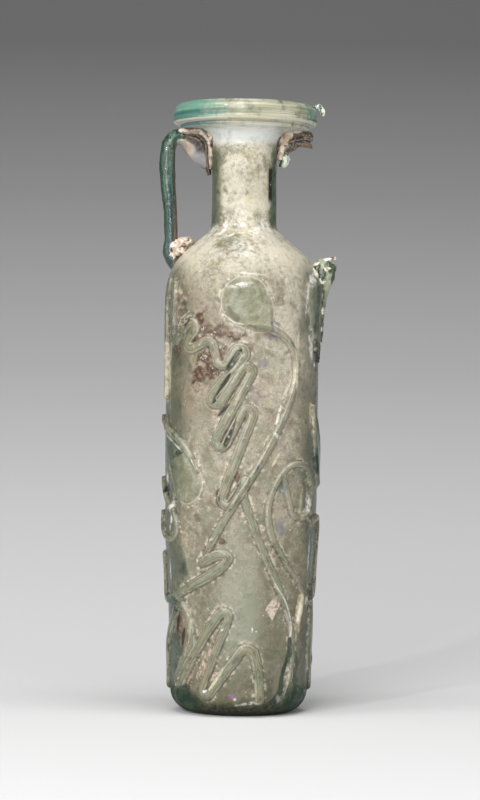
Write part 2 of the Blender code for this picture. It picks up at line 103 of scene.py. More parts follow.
# Masks beside a trail: the painted highlight line inside its border, the painted shade outside,
# the soil's reach
LINE_INSET, CONTACT_GAP, BORDER_BLUR = 0.34 * MM, 0.1 * MM, 0.24 * MM
LEAF_CONTACT = 0.35
SOIL_REACH, SOIL_INSET = 0.9 * MM, 0.3 * MM
# Soil lies where a trail has risen less than the first share, and is gone by the second
HOLLOW_SHARES = (0.35, 0.75)
# Relief of soil and of the wall's own waver, and how far a slit cuts into a trail
SOIL_RISE, SMALL_CRUMBS, CRUMBS = 0.4 * MM, 0.7 * MM, 1.7 * MM
WAVER_RISE, WAVER_SIZE = 0.35 * MM, 12 * MM
SLIT_DEPTH = 0.8

# Places on the wall are (degrees round from the front towards +X, percent of the body's height).
SNAKE = [
    (-61, 95.5), (-62, 83.4), (-38, 86.9), (-43, 81.8), (-24, 82.9), (-15.5, 77.6), (0.5, 81.2),
    (-20.5, 69.4), (5, 77.2), (-17, 59.8), (6, 68), (-12, 47.2), (3, 52.5),
]
SNAKE_TAIL = [(3, 52.5), (3, 48), (17.5, 36.7), (39, 24.3), (46.5, 17.5), (46, 9.5), (39, 3)]
STEM = [
    (5, 86.6), (24.5, 85.2), (38, 82.2), (43.3, 77.2), (39.7, 71.2), (21, 59.8), (3, 50.8), (-15, 42),
    (-30, 34),
]
HOOK = [
    (-30, 34), (-17, 36), (-9, 35.2), (-18, 32.4), (-44, 28.3), (-70, 25.4), (-88, 26.6), (-93, 31),
    (-88, 35),
]
CURL = [
    (33, 53.5), (36.5, 49.5), (43, 44.6), (58, 44.8), (64, 49), (58, 54.6), (43, 56), (30, 53.2),
    (21.5, 47.4), (22.5, 41), (36, 34.6), (52, 29.4), (57, 25.8), (53, 21),
]
LOW_SNAKE = [
    (-90, 6), (-85, 14), (-54, 24.6), (-42, 20.6), (-40, 16.2), (-60, 7), (-10.5, 23.2), (-29, 5),
    (4.4, 15.3), (11.6, 14.4), (16, 10), (17.4, 3.6),
]
LEAF_STEM = [(-93, 66.5), (-80, 64.8), (-64, 62.8), (-50, 60.4), (-40, 57.4), (-33, 54)]
LEFT_LOOP = [(-92, 52.5), (-75, 48.3), (-60, 44.8), (-55, 41.2), (-64, 39), (-80, 40.2), (-92, 45)]
LEFT_TAIL = [(-70, 96.5), (-76, 92), (-78, 83), (-77, 71)]
RIGHT_LOOP = [(68, 43.4), (84, 43.6), (92, 39), (92, 31), (82, 26.6), (72, 28.4)]
# Each leaf by its tip, its round end and its width in millimetres
LEAVES = [
    ((20, 85.5), (-10, 96.2), 16.5), ((-71, 64), (-36.5, 47.5), 14.4), ((66, 69), (92, 50.5), 10.0),
    ((76, 26), (86, 9.4), 8.4), ((236, 66), (246, 51), 9.6), ((75, 79), (70, 98.5), 13.0),
]
# A leaf's half width on the way from its tip to its end, both as shares
LEAF_SWELLING = [(0, 0.1), (0.2, 0.34), (0.4, 0.6), (0.6, 0.8), (0.8, 0.93), (1, 1)]

# Dark slits between legs that lie close: two places on the wall and the half width in millimetres
SLITS = [
    ((-40.5, 88.4), (-48, 86), 0.8), ((-0.4, 81.2), (-12, 76), 0.85), ((-8.4, 75.8), (-21, 69.2), 0.65),
    ((-9, 69.2), (-18, 66.4), 0.6), ((-4.6, 66.4), (-12, 59.6), 1.0), ((-1.4, 51.8), (-9, 47.6), 0.5),
    ((-15.6, 50), (-16.6, 46.6), 0.4), ((-56, 23), (-61, 18), 0.9), ((-50, 19.4), (-54, 15.2), 0.9),
]

# Deposits and thin places: (degrees, height, half width, half height in millimetres, lean in degrees,
# strength). The front's are met again half a turn round, weaker. The bright spots are white crust
# and painted highlights and glints.
BROWN = [
    (-33, 128.6, 2.4, 4.6, -20, 1.0), (-45, 127.4, 1.8, 2.6, -30, 1.0), (-27, 125.6, 3.0, 2.0, 0, 0.8),
    (-10, 123.6, 5.2, 2.2, -8, 1.0), (-18, 125.4, 2.6, 1.8, 0, 0.8), (-33, 120.6, 5.0, 2.8, 10, 1.0),
    (-27, 116.4, 3.8, 4.2, 30, 1.0), (-29, 111.6, 5.2, 3.2, 20, 1.0), (-20, 112.8, 3.0, 2.4, 30, 0.8),
    (-22, 121, 1.6, 3.0, 0, 0.9), (-15, 117.8, 1.8, 3.2, -20, 0.9), (-58, 120, 2.4, 4.0, 0, 0.8),
    (-60, 133, 1.6, 6, -8, 0.6), (-6, 99.4, 1.0, 4.4, -28, 0.9), (-8.5, 91.2, 1.9, 5.4, -24, 1.0),
    (-3, 77.6, 1.3, 1.8, 0, 0.9), (-17, 71.4, 1.0, 3.0, 0, 0.9), (-34, 64.4, 1.6, 1.6, 0, 0.5),
    (-26, 54.6, 2.0, 1.2, 10, 0.9), (-14, 56.8, 1.6, 1.2, 0, 0.9), (-13, 48, 0.8, 2.6, 0, 0.5),
    (27, 134.4, 3.0, 1.3, 10, 0.55), (20, 124.4, 2.0, 1.6, 0, 0.6), (6, 119.6, 2.0, 1.6, 0, 0.5),
    (19, 118, 2.6, 1.0, -30, 0.4), (-58, 30, 2.6, 6.6, 0, 0.8), (-46, 22, 2.0, 3.2, -20, 0.7),
    (-62, 3.0, 5, 1.2, 0, 0.9), (62, 26, 1.4, 7, 0, 0.6), (-44, 10, 1.4, 3.4, -20, 0.5),
    (70, 40, 2.4, 1.4, 0, 0.6),
]
PINK = [
    (-57, 133, 3.6, 8.4, -6, 0.8), (-31, 106.4, 4, 3, 0, 0.35), (-50, 33, 3.0, 4.0, 0, 0.7),
    (3, 117, 3.4, 4.6, 0, 0.5), (16, 106, 3, 5, 0, 0.3), (-22, 21, 1.3, 8, -28, 0.7),
    (-20, 12, 1.6, 5, -20, 0.5), (-44, 14, 1.6, 6, -16, 0.6), (54, 31, 1.5, 6.4, 0, 0.8),
    (-42, 57, 3, 5, 0, 0.4), (-8.5, 90, 1.0, 3, -24, 0.6), (-14, 60, 2, 3, 0, 0.3),
    (31, 40, 3, 2, -30, 0.3), (-10, 110, 2.4, 2.4, 0, 0.5),
]
# White crust, and painted highlights and glints
CRUST_AND_HIGHLIGHTS = [
    (59, 69.5, 1.0, 3.8, 0, 1.0), (-64, 65, 0.9, 5.2, -16, 1.0), (-75, 76.4, 1.4, 2.2, 0, 0.9),
    (-4, 139.2, 3.4, 0.8, 4, 0.5), (2, 143.4, 5.0, 0.4, -4, 0.5), (36, 5.0, 1.0, 2.4, 30, 0.8),
    (48, 6, 0.8, 1.4, 0, 0.8), (8, 4.6, 3.4, 0.5, 6, 0.8), (-28, 8.4, 0.8, 0.5, 0, 0.9),
    (-13.4, 28.6, 0.5, 0.4, 0, 0.9), (63, 122, 1.5, 5.0, 4, 1.0), (64, 142, 3.2, 1.6, 30, 0.9),
    (56, 134, 0.5, 5, -8, 0.8), (70, 114.6, 1.0, 1.0, 0, 0.9), (-70, 46, 0.6, 4, 0, 0.8),
    (66, 52, 0.5, 6, 0, 0.8), (-62, 9.4, 1.2, 0.6, 0, 0.9), (-22, 57.6, 1.0, 0.5, 20, 0.9),
    (26, 91, 0.5, 3, 30, 0.7), (-2, 3.9, 0.5, 0.4, 0, 1.0), (-4, 151.5, 6, 3, 0, 0.4),
    (68, 37, 1.4, 1.6, 0, 0.8), (-3.2, 6.0, 0.7, 0.6, 0, 0.9),
]
GOLD = [
    (-76, 107, 1.6, 4.6, 0, 0.9), (-78, 124, 0.6, 10, 0, 0.8), (-69, 118, 0.5, 19, 0, 0.8),
    (46, 120, 0.8, 6, -4, 0.8), (42, 110, 0.8, 6, 8, 0.9), (56, 33, 1.3, 7, 0, 0.9),
    (53, 22, 0.5, 8, 0, 0.7), (-47, 58, 2.6, 7, 0, 0.15), (-50, 72, 4, 3, 0, 0.3),
    (63, 98, 1.2, 3.6, 0, 0.8), (50, 66, 1.0, 7, -8, 0.5), (-43, 26, 0.8, 7, -16, 0.6),
    (-20, 138, 2.4, 3, 0, 0.3), (-55, 137.6, 2, 1.2, 0, 0.7),
]
BLUE = [
    (24, 127.2, 2.4, 0.9, -16, 0.95), (21, 123.6, 2.6, 1.6, 0, 0.8), (14, 114.5, 2.4, 3.2, 0, 0.6),
    (31, 62.6, 1.6, 3.4, 0, 0.95), (32, 74, 2.2, 2.0, 0, 0.7), (12, 103, 3, 3, 0, 0.25),
    (0, 94, 0.6, 0.6, 0, 0.8), (12, 81, 0.7, 0.7, 0, 0.7), (8, 70, 0.6, 0.6, 0, 0.6),
    (3, 99, 0.5, 0.5, 0, 0.7), (44, 1.8, 3, 1.0, 0, 0.6),
]
# A flat scale of crust, by its corners as (degrees, height in millimetres)
FLAKE = [((28.7, 39.4), (34.4, 37), (27.2, 31.4), (20.7, 35))]
TEAL = [
    (-68, 36.5, 6, 2.4, -6, 0.8), (-64, 20, 3.2, 7, 0, 0.65), (54, 14, 2.4, 9, 4, 0.7),
    (-62, 85, 3.4, 5.4, -24, 0.32), (-51, 85.6, 2.4, 1.3, 30, 0.95), (60, 6, 10, 3.4, 0, 0.9),
    (-58, 6, 8, 3.6, 0, 0.85), (70, 127, 2.4, 7, 0, 0.95), (73, 137, 1.8, 4, 0, 0.6),
    (74, 117, 1.8, 5, 0, 0.95), (-75, 73.6, 2.6, 2.2, 0, 0.9), (-80, 99, 1.6, 2.4, 0, 0.8),
    (-78, 86, 2.2, 4.6, 0, 0.8), (78, 90, 3.2, 11, 0, 0.9), (76, 103, 2.6, 4, 0, 0.85),
    (-72, 97, 1.4, 2, 0, 0.6), (-50, 47, 2.4, 2.4, 0, 0.5), (40, 3.2, 4, 1.6, 0, 0.9),
    (26, 8, 1.6, 5, 0, 0.35), (74, 48, 2.6, 10, 0, 0.7),
]
VIOLET = [(-6, 6.9, 1.3, 0.9, 0, 0.8), (-4, 6.4, 0.9, 0.7, 0, 0.9)]
# Thin lines of those kinds, the bright ones painted highlight lines: places as (degrees, height in
# millimetres) and the half width
STROKES = [
    ("teal", [(44, 25.8), (43.8, 20), (38.4, 13.7), (34.9, 8), (27.2, 4.3)], 0.9),
    ("gold", [(-76, 121), (-76, 112), (-76, 103)], 2.8),
    ("teal", [(38.5, 10.8), (33.1, 6.4), (22.3, 3.1)], 1.2),
    ("bright", [(26.9, 43.6), (37.6, 37), (42.8, 31), (44, 25.8)], 0.22),
    ("bright", [(49.8, 18.5), (50.7, 13.3), (44.6, 7.7)], 0.35),
    ("gold", [(55.1, 39.8), (52.8, 33.7), (50.6, 27.6)], 0.9),
    ("pink", [(-13.5, 29), (-25.1, 20.4), (-37.9, 11.8)], 1.3),
    ("gold", [(-12.5, 16.4), (-18.5, 12.5), (-23.9, 8.9)], 0.8),
    ("gold", [(40.7, 120.1), (43, 113.3), (37.3, 107.8), (31.1, 102.9)], 0.7),
    ("bright", [(30.3, 101.3), (26.3, 94.9)], 0.5),
    ("gold", [(29.9, 85.8), (23.4, 81.3)], 0.5),
    ("bright", [(-17, 131.9), (-11.6, 129), (-4.2, 127.3), (2.5, 127)], 0.24),
    ("bright", [(-82, 93), (-61.1, 89.2), (-47.7, 85.7)], 0.3),
    ("bright", [(-5.2, 139.6), (6.5, 140.2)], 0.5),
    ("bright", [(-59.7, 122.2), (-54.3, 128), (-42.9, 131.4)], 0.22),
]
HALF_TURN = 180
HALF_TURN_SHARE = 0.8
# Borders of spots and strokes as shares of their half width, a stroke's tip, and the tears in a spot
SPOT_BORDER, STROKE_BORDER, STROKE_TIP = (0.6, 1.15), (0.6, 1.2), 0.2
SMALL_TEARS, LARGE_TEARS = 1.3 * MM, 3.1 * MM
FLAKE_BLUR = 0.15 * MM

# Whole handle as (reach, height, half width, half depth) in millimetres, up from its foot
HANDLE = [
    (21.0, 145.0, 1.5, 2.0), (23.0, 148.2, 2.4, 2.6), (24.1, 151.5, 2.5, 2.7), (24.0, 156, 2.2, 2.6),
    (24.2, 163, 2.2, 2.5), (24.7, 169, 2.35, 2.6), (25.2, 174, 2.55, 2.7), (25.5, 179, 2.6, 2.7),
    (25.4, 183.5, 2.5, 2.7), (24.8, 187, 2.5, 2.7), (22.7, 189.4, 2.4, 2.7), (19.9, 189.6, 2.3, 2.6),
]
# Its folded root: a smooth sheet in towards the neck, a dark crevice and a crusty crest along the neck
WEB = [
    (23.0, 188.9, 2.2, 2.3), (20.0, 188.1, 2.5, 2.5), (17.2, 186.0, 3.2, 2.5), (14.6, 183.8, 3.7, 2.3),
    (12.2, 182.8, 4.4, 2.0), (9.2, 182.8, 4.6, 1.5),
]
CREVICE = [
    (19.4, 189.6, 0.9, 1.8), (16.4, 189.2, 1.4, 2.6), (13.6, 187.2, 1.6, 3.0), (12.4, 182.6, 1.3, 2.8),
    (12.0, 178.4, 0.9, 2.0), (11.6, 176.8, 0.5, 1.0),
]
CREST = [
    (20.6, 190.7, 0.7, 1.4), (17.2, 191.0, 0.9, 2.6), (13.9, 190.5, 1.2, 3.0), (11.8, 187.8, 1.1, 2.8),
    (11.2, 183.2, 0.9, 2.4), (11.2, 178.8, 0.7, 1.8),
]
# Broken handle: the upper root's dark layers, its column by the neck and its tip, and the lower root
UPPER_ROOT = [
    (22.0, 188.5, 1.9, 2.0), (20.6, 189.1, 2.7, 2.4), (17.8, 189.2, 3.0, 2.7), (14.8, 188.4, 3.5, 2.6),
    (12.2, 187.0, 3.8, 2.3), (9.4, 185.6, 3.6, 1.6),
]
SPIKES = [
    [(18.8, 190.9, 1.0, 2.0), (20.8, 191.0, 0.8, 1.6), (21.8, 190.5, 0.4, 0.8)],
    [(18.6, 187.3, 1.1, 2.0), (20.8, 187.1, 0.9, 1.5), (22.6, 186.0, 0.35, 0.5)],
    [(19.6, 189.2, 1.2, 2.2), (21.4, 189.0, 0.9, 1.5), (22.4, 188.4, 0.35, 0.6)],
]
COLUMN = [
    (15.4, 191.8, 2.6, 2.6), (13.8, 189.6, 2.3, 3.0), (12.6, 186.2, 1.5, 2.6), (11.8, 182.0, 1.1, 2.0),
]
UPPER_TIP = [
    (12.8, 185.0, 0.9, 1.6), (13.5, 182.9, 1.4, 2.0), (12.9, 180.9, 1.4, 1.9), (11.5, 179.8, 0.8, 1.2),
]
LOWER_ROOT = [
    (27.8, 148.6, 3.6, 3.2), (27.0, 146.6, 3.9, 3.8), (26.3, 142.6, 3.6, 4.0), (25.6, 138.6, 2.6, 3.6),
    (25.2, 134, 2.0, 3.2), (25.0, 128, 1.8, 2.7), (24.7, 122, 1.5, 2.2), (24.2, 116, 0.9, 1.4),
]
LOWER_CREST = [
    (22.6, 146.4, 0.7, 2.2), (25.0, 147.9, 0.9, 3.0), (27.6, 148.9, 0.9, 3.0), (30.4, 149.9, 0.7, 1.8),
]
CHIP = [
    (22.4, 199.2, 0.7, 1.0), (23.9, 199.9, 0.8, 1.0), (25.1, 199.1, 0.85, 0.9), (25.7, 197.7, 0.7, 0.7),
    (25.8, 196.7, 0.3, 0.4),
]
# Rods: the side that one is on, how finely it is divided, and how its surface wanders
LEFT, RIGHT = -1, 1
ROD_SIDES = 40
ROD_STEP = 0.3 * MM
ROD_CRUMBS = MM / 0.55
ROD_WAVER, ROD_WAVER_SIZE = 0.18 * MM, MM / 0.21
FOLD_WANDER, FOLD_WANDER_SIZE = 0.9, MM / 0.12
GROOVE_SHARPNESS = 1.5
END_MARKS = (0.3, 0.2)

# Soil and crust lumps: (side, forward, height, three half sizes) in millimetres
LUMPS = [
    (-21.4, -1.0, 153.0, 2.9, 3.2, 2.3), (-18.8, -2.0, 154.6, 2.4, 2.4, 1.5),
    (-23.2, -0.6, 150.8, 1.6, 2.4, 2.6), (-20.4, -3.2, 151.2, 2.0, 1.6, 1.6),
    (23.0, -5.6, 143.6, 1.6, 1.6, 2.4), (21.6, -8.4, 141.6, 1.5, 1.5, 1.5),
    (16.6, -1.5, 191.4, 2.6, 2.2, 0.7), (-19.6, -2.2, 191.2, 2.2, 1.6, 0.8),
    (-16.0, -2.4, 191.3, 2.6, 1.6, 0.8), (-11.6, -3.0, 189.4, 1.1, 1.3, 1.5),
]
# How rough the lumps are, and the lumps further to the right than this are white
LUMP_ROUGHNESS, LUMP_CRUMBS = 0.45, MM / 0.8
WHITE_LUMPS_FROM = 20

# Camera: the photograph's, level with the middle of the flask and turned a little about its own line.
# Its lens and film are in millimetres.
CAMERA_PLACE = (-0.6 * MM, -892.6 * MM, 102.6 * MM)
CAMERA_ROLL = math.radians(-0.63)
CAMERA_LENS = 121.5
CAMERA_FILM = 36

# Floor and backdrop: one sweep, in metres, with its tones as (height, grey)
SWEEP_FRONT = 1.6
SWEEP_START = 0.15
SWEEP_RADIUS = 1.0
SWEEP_HEIGHT = 2.2
SWEEP_HALF_WIDTH = 1.5
SWEEP_ARC_ROWS = 40
SWEEP_TONES = [(0.0, 215), (0.045, 203), (0.12, 175), (0.235, 140), (0.34, 107)]

# Lamps as (name, place, size, power), all aimed at the flask's middle
LAMPS = [
    ("front_light", (-0.3, -1.35, 0.5), (0.6, 0.8), 14.5),
    ("left_light", (-0.95, -0.5, 0.35), (0.4, 0.8), 4),
    ("right_light", (0.95, -0.4, 0.35), (0.4, 0.8), 3),
    ("top_light", (0, -0.3, 1.1), (0.8, 0.6), 9),
    ("spark_light", (-0.45, -0.8, 0.55), (0.04, 0.04), 2.2),
]
LAMP_AIM = (0, 0, 0.1)
ROOM_STRENGTH = 0.22

# Sockets of the node that mixes colours, and the glass's index of refraction
MIX_SHARE, MIX_FIRST, MIX_SECOND, MIX_COLOUR = 0, 6, 7, 2
GLASS_IOR = 1.5


def mapped(values, low, high):
    """0 at low and below, 1 at high and above, and a smooth step between."""
    share = np.clip((values - low) / (high - low), 0, 1)
    return share * share * (3 - 2 * share)


def speckle(x, y, size, seed, lap):
    """Smooth random heights from 0 to 1, with bumps of that size. They meet again after a lap in x."""
    across = max(1, round(lap / size))
    table = np.random.default_rng(seed).random((across, SPECKLE_ROWS))
    u, v = x / (lap / across), y / size + SPECKLE_START
    i, j = np.floor(u).astype(int), np.floor(v).astype(int)
    s, t = u - i, v - j
    s, t = s * s * (3 - 2 * s), t * t * (3 - 2 * t)
    i, k, j = i % across, (i + 1) % across, j % (SPECKLE_ROWS - 1)
    low = table[i, j] * (1 - s) + table[k, j] * s
    high = table[i, j + 1] * (1 - s) + table[k, j + 1] * s
    return low * (1 - t) + high * t


def turned_corner(back, here, ahead, rounding):
    """Points of an arc of that rounding, in place of a corner of an outline."""
    turn = math.pi - (back - here).angle(ahead - here)
    reach = rounding * math.tan(turn / 2)
    reach = min(reach, CORNER_SHARE * (back - here).length, CORNER_SHARE * (ahead - here).length)
    start = here + (back - here).normalized() * reach
    end = here + (ahead - here).normalized() * reach
    steps = max(1, math.ceil(turn / ARC_STEP))
    arc = []
    for k in range(steps + 1):
        t = k / steps
        weights = ((1 - t) ** 2, 2 * t * (1 - t) * math.cos(turn / 2), t**2)
        arc.append((start * weights[0] + here * weights[1] + end * weights[2]) / sum(weights))
    return arc


def rounded(corners):
    """An outline of (radius, height, rounding) corners in millimetres, with its corners turned into arcs."""
    points = [Vector(corner[:2]) * MM for corner in corners]
    outline = [points[0]]
    for i in range(1, len(points) - 1):
        rounding = corners[i][2] * MM
        if rounding:
            outline += turned_corner(points[i - 1], points[i], points[i + 1], rounding)
        else:
            outline.append(points[i])
    return [*outline, points[-1]]


def stepped_rows(outline, step, plain_step):
    """Radii, heights and outward directions along an outline, at short steps up the body's wall and at
    plain ones past it."""
    flat = np.array([tuple(point) for point in outline])
    run = np.concatenate([[0], np.cumsum(np.hypot(*np.diff(flat, axis=0).T))])
    even = np.linspace(0, run[-1], OUTLINE_SAMPLES)
    level = np.interp(even, run, flat[:, 1])
    pace = np.where((level > FOOT_FADE[0]) & (level < BODY_HEIGHT), 1 / step, 1 / plain_step)
    count = np.concatenate([[0], np.cumsum(pace[1:] * np.diff(even))])
    at = np.interp(np.linspace(0, count[-1], round(count[-1])), count, even)
    radius, height = np.interp(at, run, flat[:, 0]), np.interp(at, run, flat[:, 1])
    slope = np.stack([np.gradient(radius), np.gradient(height)])
    slope /= np.hypot(*slope)
    return radius, height, slope[1], -slope[0]


def rolled_out(places):
    """Places on the wall as points of the wall rolled out flat, in metres."""
    per_degree, per_percent = BODY_RADIUS * math.radians(1), BODY_HEIGHT / 100
    return [Vector((degrees * per_degree, percent * per_percent)) for degrees, percent in places]


def on_wall(degrees, height):
    """A place on the wall, its height in millimetres, as a point of the rolled-out wall."""
    return Vector((BODY_RADIUS * math.radians(degrees), height * MM))


def flowing(points, step=LINE_STEP):
    """A smooth line through the points, in short steps (a Catmull-Rom spline)."""
    ends = [2 * points[0] - points[1], *points, 2 * points[-1] - points[-2]]
    line = []
    for a, b, c, d in zip(ends, ends[1:], ends[2:], ends[3:]):
        steps = max(1, round((c - b).length / step))
        for t in (k / steps for k in range(steps)):
            bend = (2 * a - 5 * b + 4 * c - d) * t**2 + (3 * b - a - 3 * c + d) * t**3
            line.append(0.5 * (2 * b + (c - a) * t + bend))
    return [*line, points[-1]]


def cross(a, b):
    """More than nothing where b turns left of a."""
    return a.x * b.y - a.y * b.x


def looped(points, radius):
    """A line drawn tight over pegs: straight legs, and round turns with their far sides at the points."""
    pegs = [(points[0], 0.0)]
    for before, here, after in zip(points, points[1:], points[2:]):
        inward = ((before - here).normalized() + (after - here).normalized()).normalized()
        side = math.copysign(radius, cross(here - before, after - here))
        pegs.append((here + inward * radius, side))
    pegs.append((points[-1], 0.0))
    headings = []
    for (here, side), (there, next_side) in zip(pegs, pegs[1:]):
        leg = there - here
        headings.append(math.atan2(leg.y, leg.x) + math.asin((side - next_side) / leg.length))
    line = [points[0]]
    for (centre, side), arriving, leaving in zip(pegs[1:], headings, headings[1:]):
        turn = (leaving - arriving) % math.copysign(2 * math.pi, side)
        steps = max(1, math.ceil(abs(turn) / TURN_STEP))
        arc = [arriving + turn * k / steps for k in range(steps + 1)]
        line += [centre + Vector((math.sin(heading), -math.cos(heading))) * side for heading in arc]
    return [*line, points[-1]]


class Wall:
    """The rolled-out wall as a grid: x runs round from the front, y up. It collects the applied glass."""

    def __init__(self, heights):
        self.lap = 2 * math.pi * BODY_RADIUS
        self.x = np.arange(COLUMNS) * self.lap / COLUMNS
        self.y = heights
        shape = (len(heights), COLUMNS)
        self.rise, self.near, self.thread, self.line = (np.zeros(shape) for _ in range(4))
        self.leaf, self.contact_shade, self.crack, self.flake = (np.zeros(shape) for _ in range(4))

    def nearness(self, line, halves):
        """Distance from the line as a share of its half width, and outside its border in metres."""
        share, outside = np.full(self.rise.shape, FAR_SHARE), np.full(self.rise.shape, FAR)
        margin = max(halves) + FIELD_MARGIN
        for a, b, half_a, half_b in zip(line, line[1:], halves, halves[1:]):
            rows = np.where((self.y > min(a.y, b.y) - margin) & (self.y < max(a.y, b.y) + margin))[0]
            if not len(rows):
                continue
            first = math.floor((min(a.x, b.x) - margin) * COLUMNS / self.lap)
            last = math.ceil((max(a.x, b.x) + margin) * COLUMNS / self.lap)
            columns = np.arange(first, last + 1)
            x = (columns * self.lap / COLUMNS)[None, :]
            y = self.y[rows][:, None]
            dx, dy = b.x - a.x, b.y - a.y
            t = np.clip(((x - a.x) * dx + (y - a.y) * dy) / max(dx * dx + dy * dy, 1e-12), 0, 1)
            gap = np.hypot(x - a.x - t * dx, y - a.y - t * dy)
            half = half_a + t * (half_b - half_a)
            place = np.ix_(rows, columns % COLUMNS)
            share[place] = np.minimum(share[place], gap / half)
            outside[place] = np.minimum(outside[place], gap - half)
        return share, outside

    def add(self, line, halves, rise, is_leaf=False):
        """Lays a trail or a leaf on the wall. Where it crosses another it rides over it."""
        share, outside = self.nearness(line, halves)
        if is_leaf:
            dimple = LEAF_DIMPLE_DEPTH * (1 - mapped(share, *LEAF_DIMPLE))
            height = rise * (1 - mapped(share, *LEAF_BORDER)) * (1 - dimple)
            self.leaf = np.maximum(self.leaf, 1 - mapped(share, *LEAF_TINT))
        else:
            height = rise * np.sqrt(1 - np.clip(share, 0, 1) ** TRAIL_FLATNESS)
            self.thread = np.maximum(self.thread, np.clip(THREAD_SPREAD - share, 0, 1))
        self.rise = np.maximum(self.rise, height) + RIDE_OVER * np.minimum(self.rise, height)
        clear = outside > 0
        # A painted highlight line inside the border, and a painted shade line just outside it
        line = np.exp(-(((outside + LINE_INSET) / BORDER_BLUR) ** 2))
        self.line = np.maximum(self.line * clear, line)
        dark = (LEAF_CONTACT if is_leaf else 1) * np.exp(-(((outside - CONTACT_GAP) / BORDER_BLUR) ** 2))
        self.contact_shade = np.maximum(self.contact_shade * clear, dark)
        beside = np.exp(-np.clip(outside, 0, 1) / SOIL_REACH) * (outside > -SOIL_INSET)
        self.near = np.minimum(self.near + beside, 2)

    def trail(self, line, width, rise=TRAIL_RISE, drawn=0):
        """A trail whose width wavers as it was drawn by hand, thin over that many points at its ends."""
        halves = []
        for k in range(len(line)):
            waver = noise.noise(Vector((k * 0.13, width / MM * 7, 0)))
            full = min(1, k / drawn, (len(line) - 1 - k) / drawn) if drawn else 1
            halves.append(width / 2 * (1 + HAND_WAVER * waver) * (THIN_END + (1 - THIN_END) * full))
        self.add(line, halves, rise)

    def stroke(self, mask, points, half):
        """A line on a mask, pointed at both ends."""
        line = flowing(points)
        along = [k / (len(line) - 1) for k in range(len(line))]
        swell = [math.sqrt(max(0, math.sin(math.pi * part))) for part in along]
        share, _ = self.nearness(line, [half * (STROKE_TIP + (1 - STROKE_TIP) * part) for part in swell])
        np.maximum(mask, 1 - mapped(share, *STROKE_BORDER), out=mask)

    def flake_at(self, corners):
        """A flat scale of crust with straight borders."""
        x, y = self.x[None, :], self.y[:, None]
        inside = np.ones(self.rise.shape)
        for a, b in zip(corners, [*corners[1:], corners[0]]):
            run = (b - a).normalized()
            dx = (x - a.x + self.lap / 2) % self.lap - self.lap / 2
            depth = run.y * dx - run.x * (y - a.y)
            inside = np.minimum(inside, mapped(depth, -FLAKE_BLUR, FLAKE_BLUR))
        self.flake = np.maximum(self.flake, inside)

    def leaf_at(self, tip, end, width):
        """A drop of glass pressed flat on the wall, pointed at its tip and round at its end."""
        tip, end = rolled_out([tip, end])
        middle = end + (tip - end).normalized() * width / 2
        line = [tip.lerp(middle, along) for along, _ in LEAF_SWELLING]
        self.add(line, [width / 2 * share for _, share in LEAF_SWELLING], LEAF_RISE, True)

    def spots(self, spots):
        """A mask of soft ovals with ragged borders, at the front and half a turn round."""
        mask = np.zeros(self.rise.shape)
        x, y = self.x[None, :], self.y[:, None]
        x_all, y_all = np.meshgrid(self.x, self.y)
        ragged = speckle(x_all, y_all, SMALL_TEARS, 5, self.lap) - 0.5
        ragged += 0.8 * (speckle(x_all, y_all, LARGE_TEARS, 6, self.lap) - 0.5)
        for degrees, height, half_wide, half_high, lean, strength in spots:
            for turn, share in ((0, 1), (HALF_TURN, HALF_TURN_SHARE)):
                centre = BODY_RADIUS * math.radians(degrees + turn)
                dx = (x - centre + self.lap / 2) % self.lap - self.lap / 2
                dy = y - height * MM
                c, s = math.cos(math.radians(lean)), math.sin(math.radians(lean))
                u = (dx * c + dy * s) / (half_wide * MM)
                v = (dy * c - dx * s) / (half_high * MM)
                torn = ragged * min(1, 0.25 + min(half_wide, half_high) / 4)
                oval = 1 - mapped(np.hypot(u, v) + torn, *SPOT_BORDER)
                mask = np.maximum(mask, strength * share * oval)
        return mask


def applied_glass(wall):
    """Every trail and leaf. The back repeats the front's long trails half a turn round, and less besides."""
    radius = (SNAKE_WIDTH + SNAKE_SLIT) / 2
    for turn in (Vector((0, 0)), Vector((wall.lap / 2, 0))):
        for places in (SNAKE, LOW_SNAKE):
            wall.trail([point + turn for point in looped(rolled_out(places), radius)], SNAKE_WIDTH)
        wall.trail([point + turn for point in flowing(rolled_out(SNAKE_TAIL))], STEM_WIDTH)
        wall.trail([point + turn for point in flowing(rolled_out(STEM))], STEM_WIDTH, drawn=DRAWN_POINTS)
        for start, end, half in SLITS:
            start, end = rolled_out([start, end])
            wall.stroke(wall.crack, [start + turn, end + turn], half * MM)
        wall.trail([point + turn for point in flowing(rolled_out(CURL))], CURL_WIDTH)
    for places, width in ((HOOK, SNAKE_WIDTH), (LEFT_TAIL, SNAKE_WIDTH), (RIGHT_LOOP, STEM_WIDTH)):
        wall.trail(flowing(rolled_out(places)), width)
    for places in (LEAF_STEM, LEFT_LOOP):
        wall.trail(flowing(rolled_out(places)), CURL_WIDTH, drawn=DRAWN_POINTS)
    for tip, end, width in LEAVES:
        wall.leaf_at(tip, end, width * MM)
    for corners in FLAKE:
        wall.flake_at([on_wall(*corner) for corner in corners])


def piece(name, mesh, material):
    """A finished piece of the flask, riding on its body in place of the CAD node."""
    mesh.materials.append(material)
    made = bpy.data.objects.new(name, mesh)
    bpy.context.scene.collection.objects.link(made)
    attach(made, "root")
    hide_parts("flask")
    return made


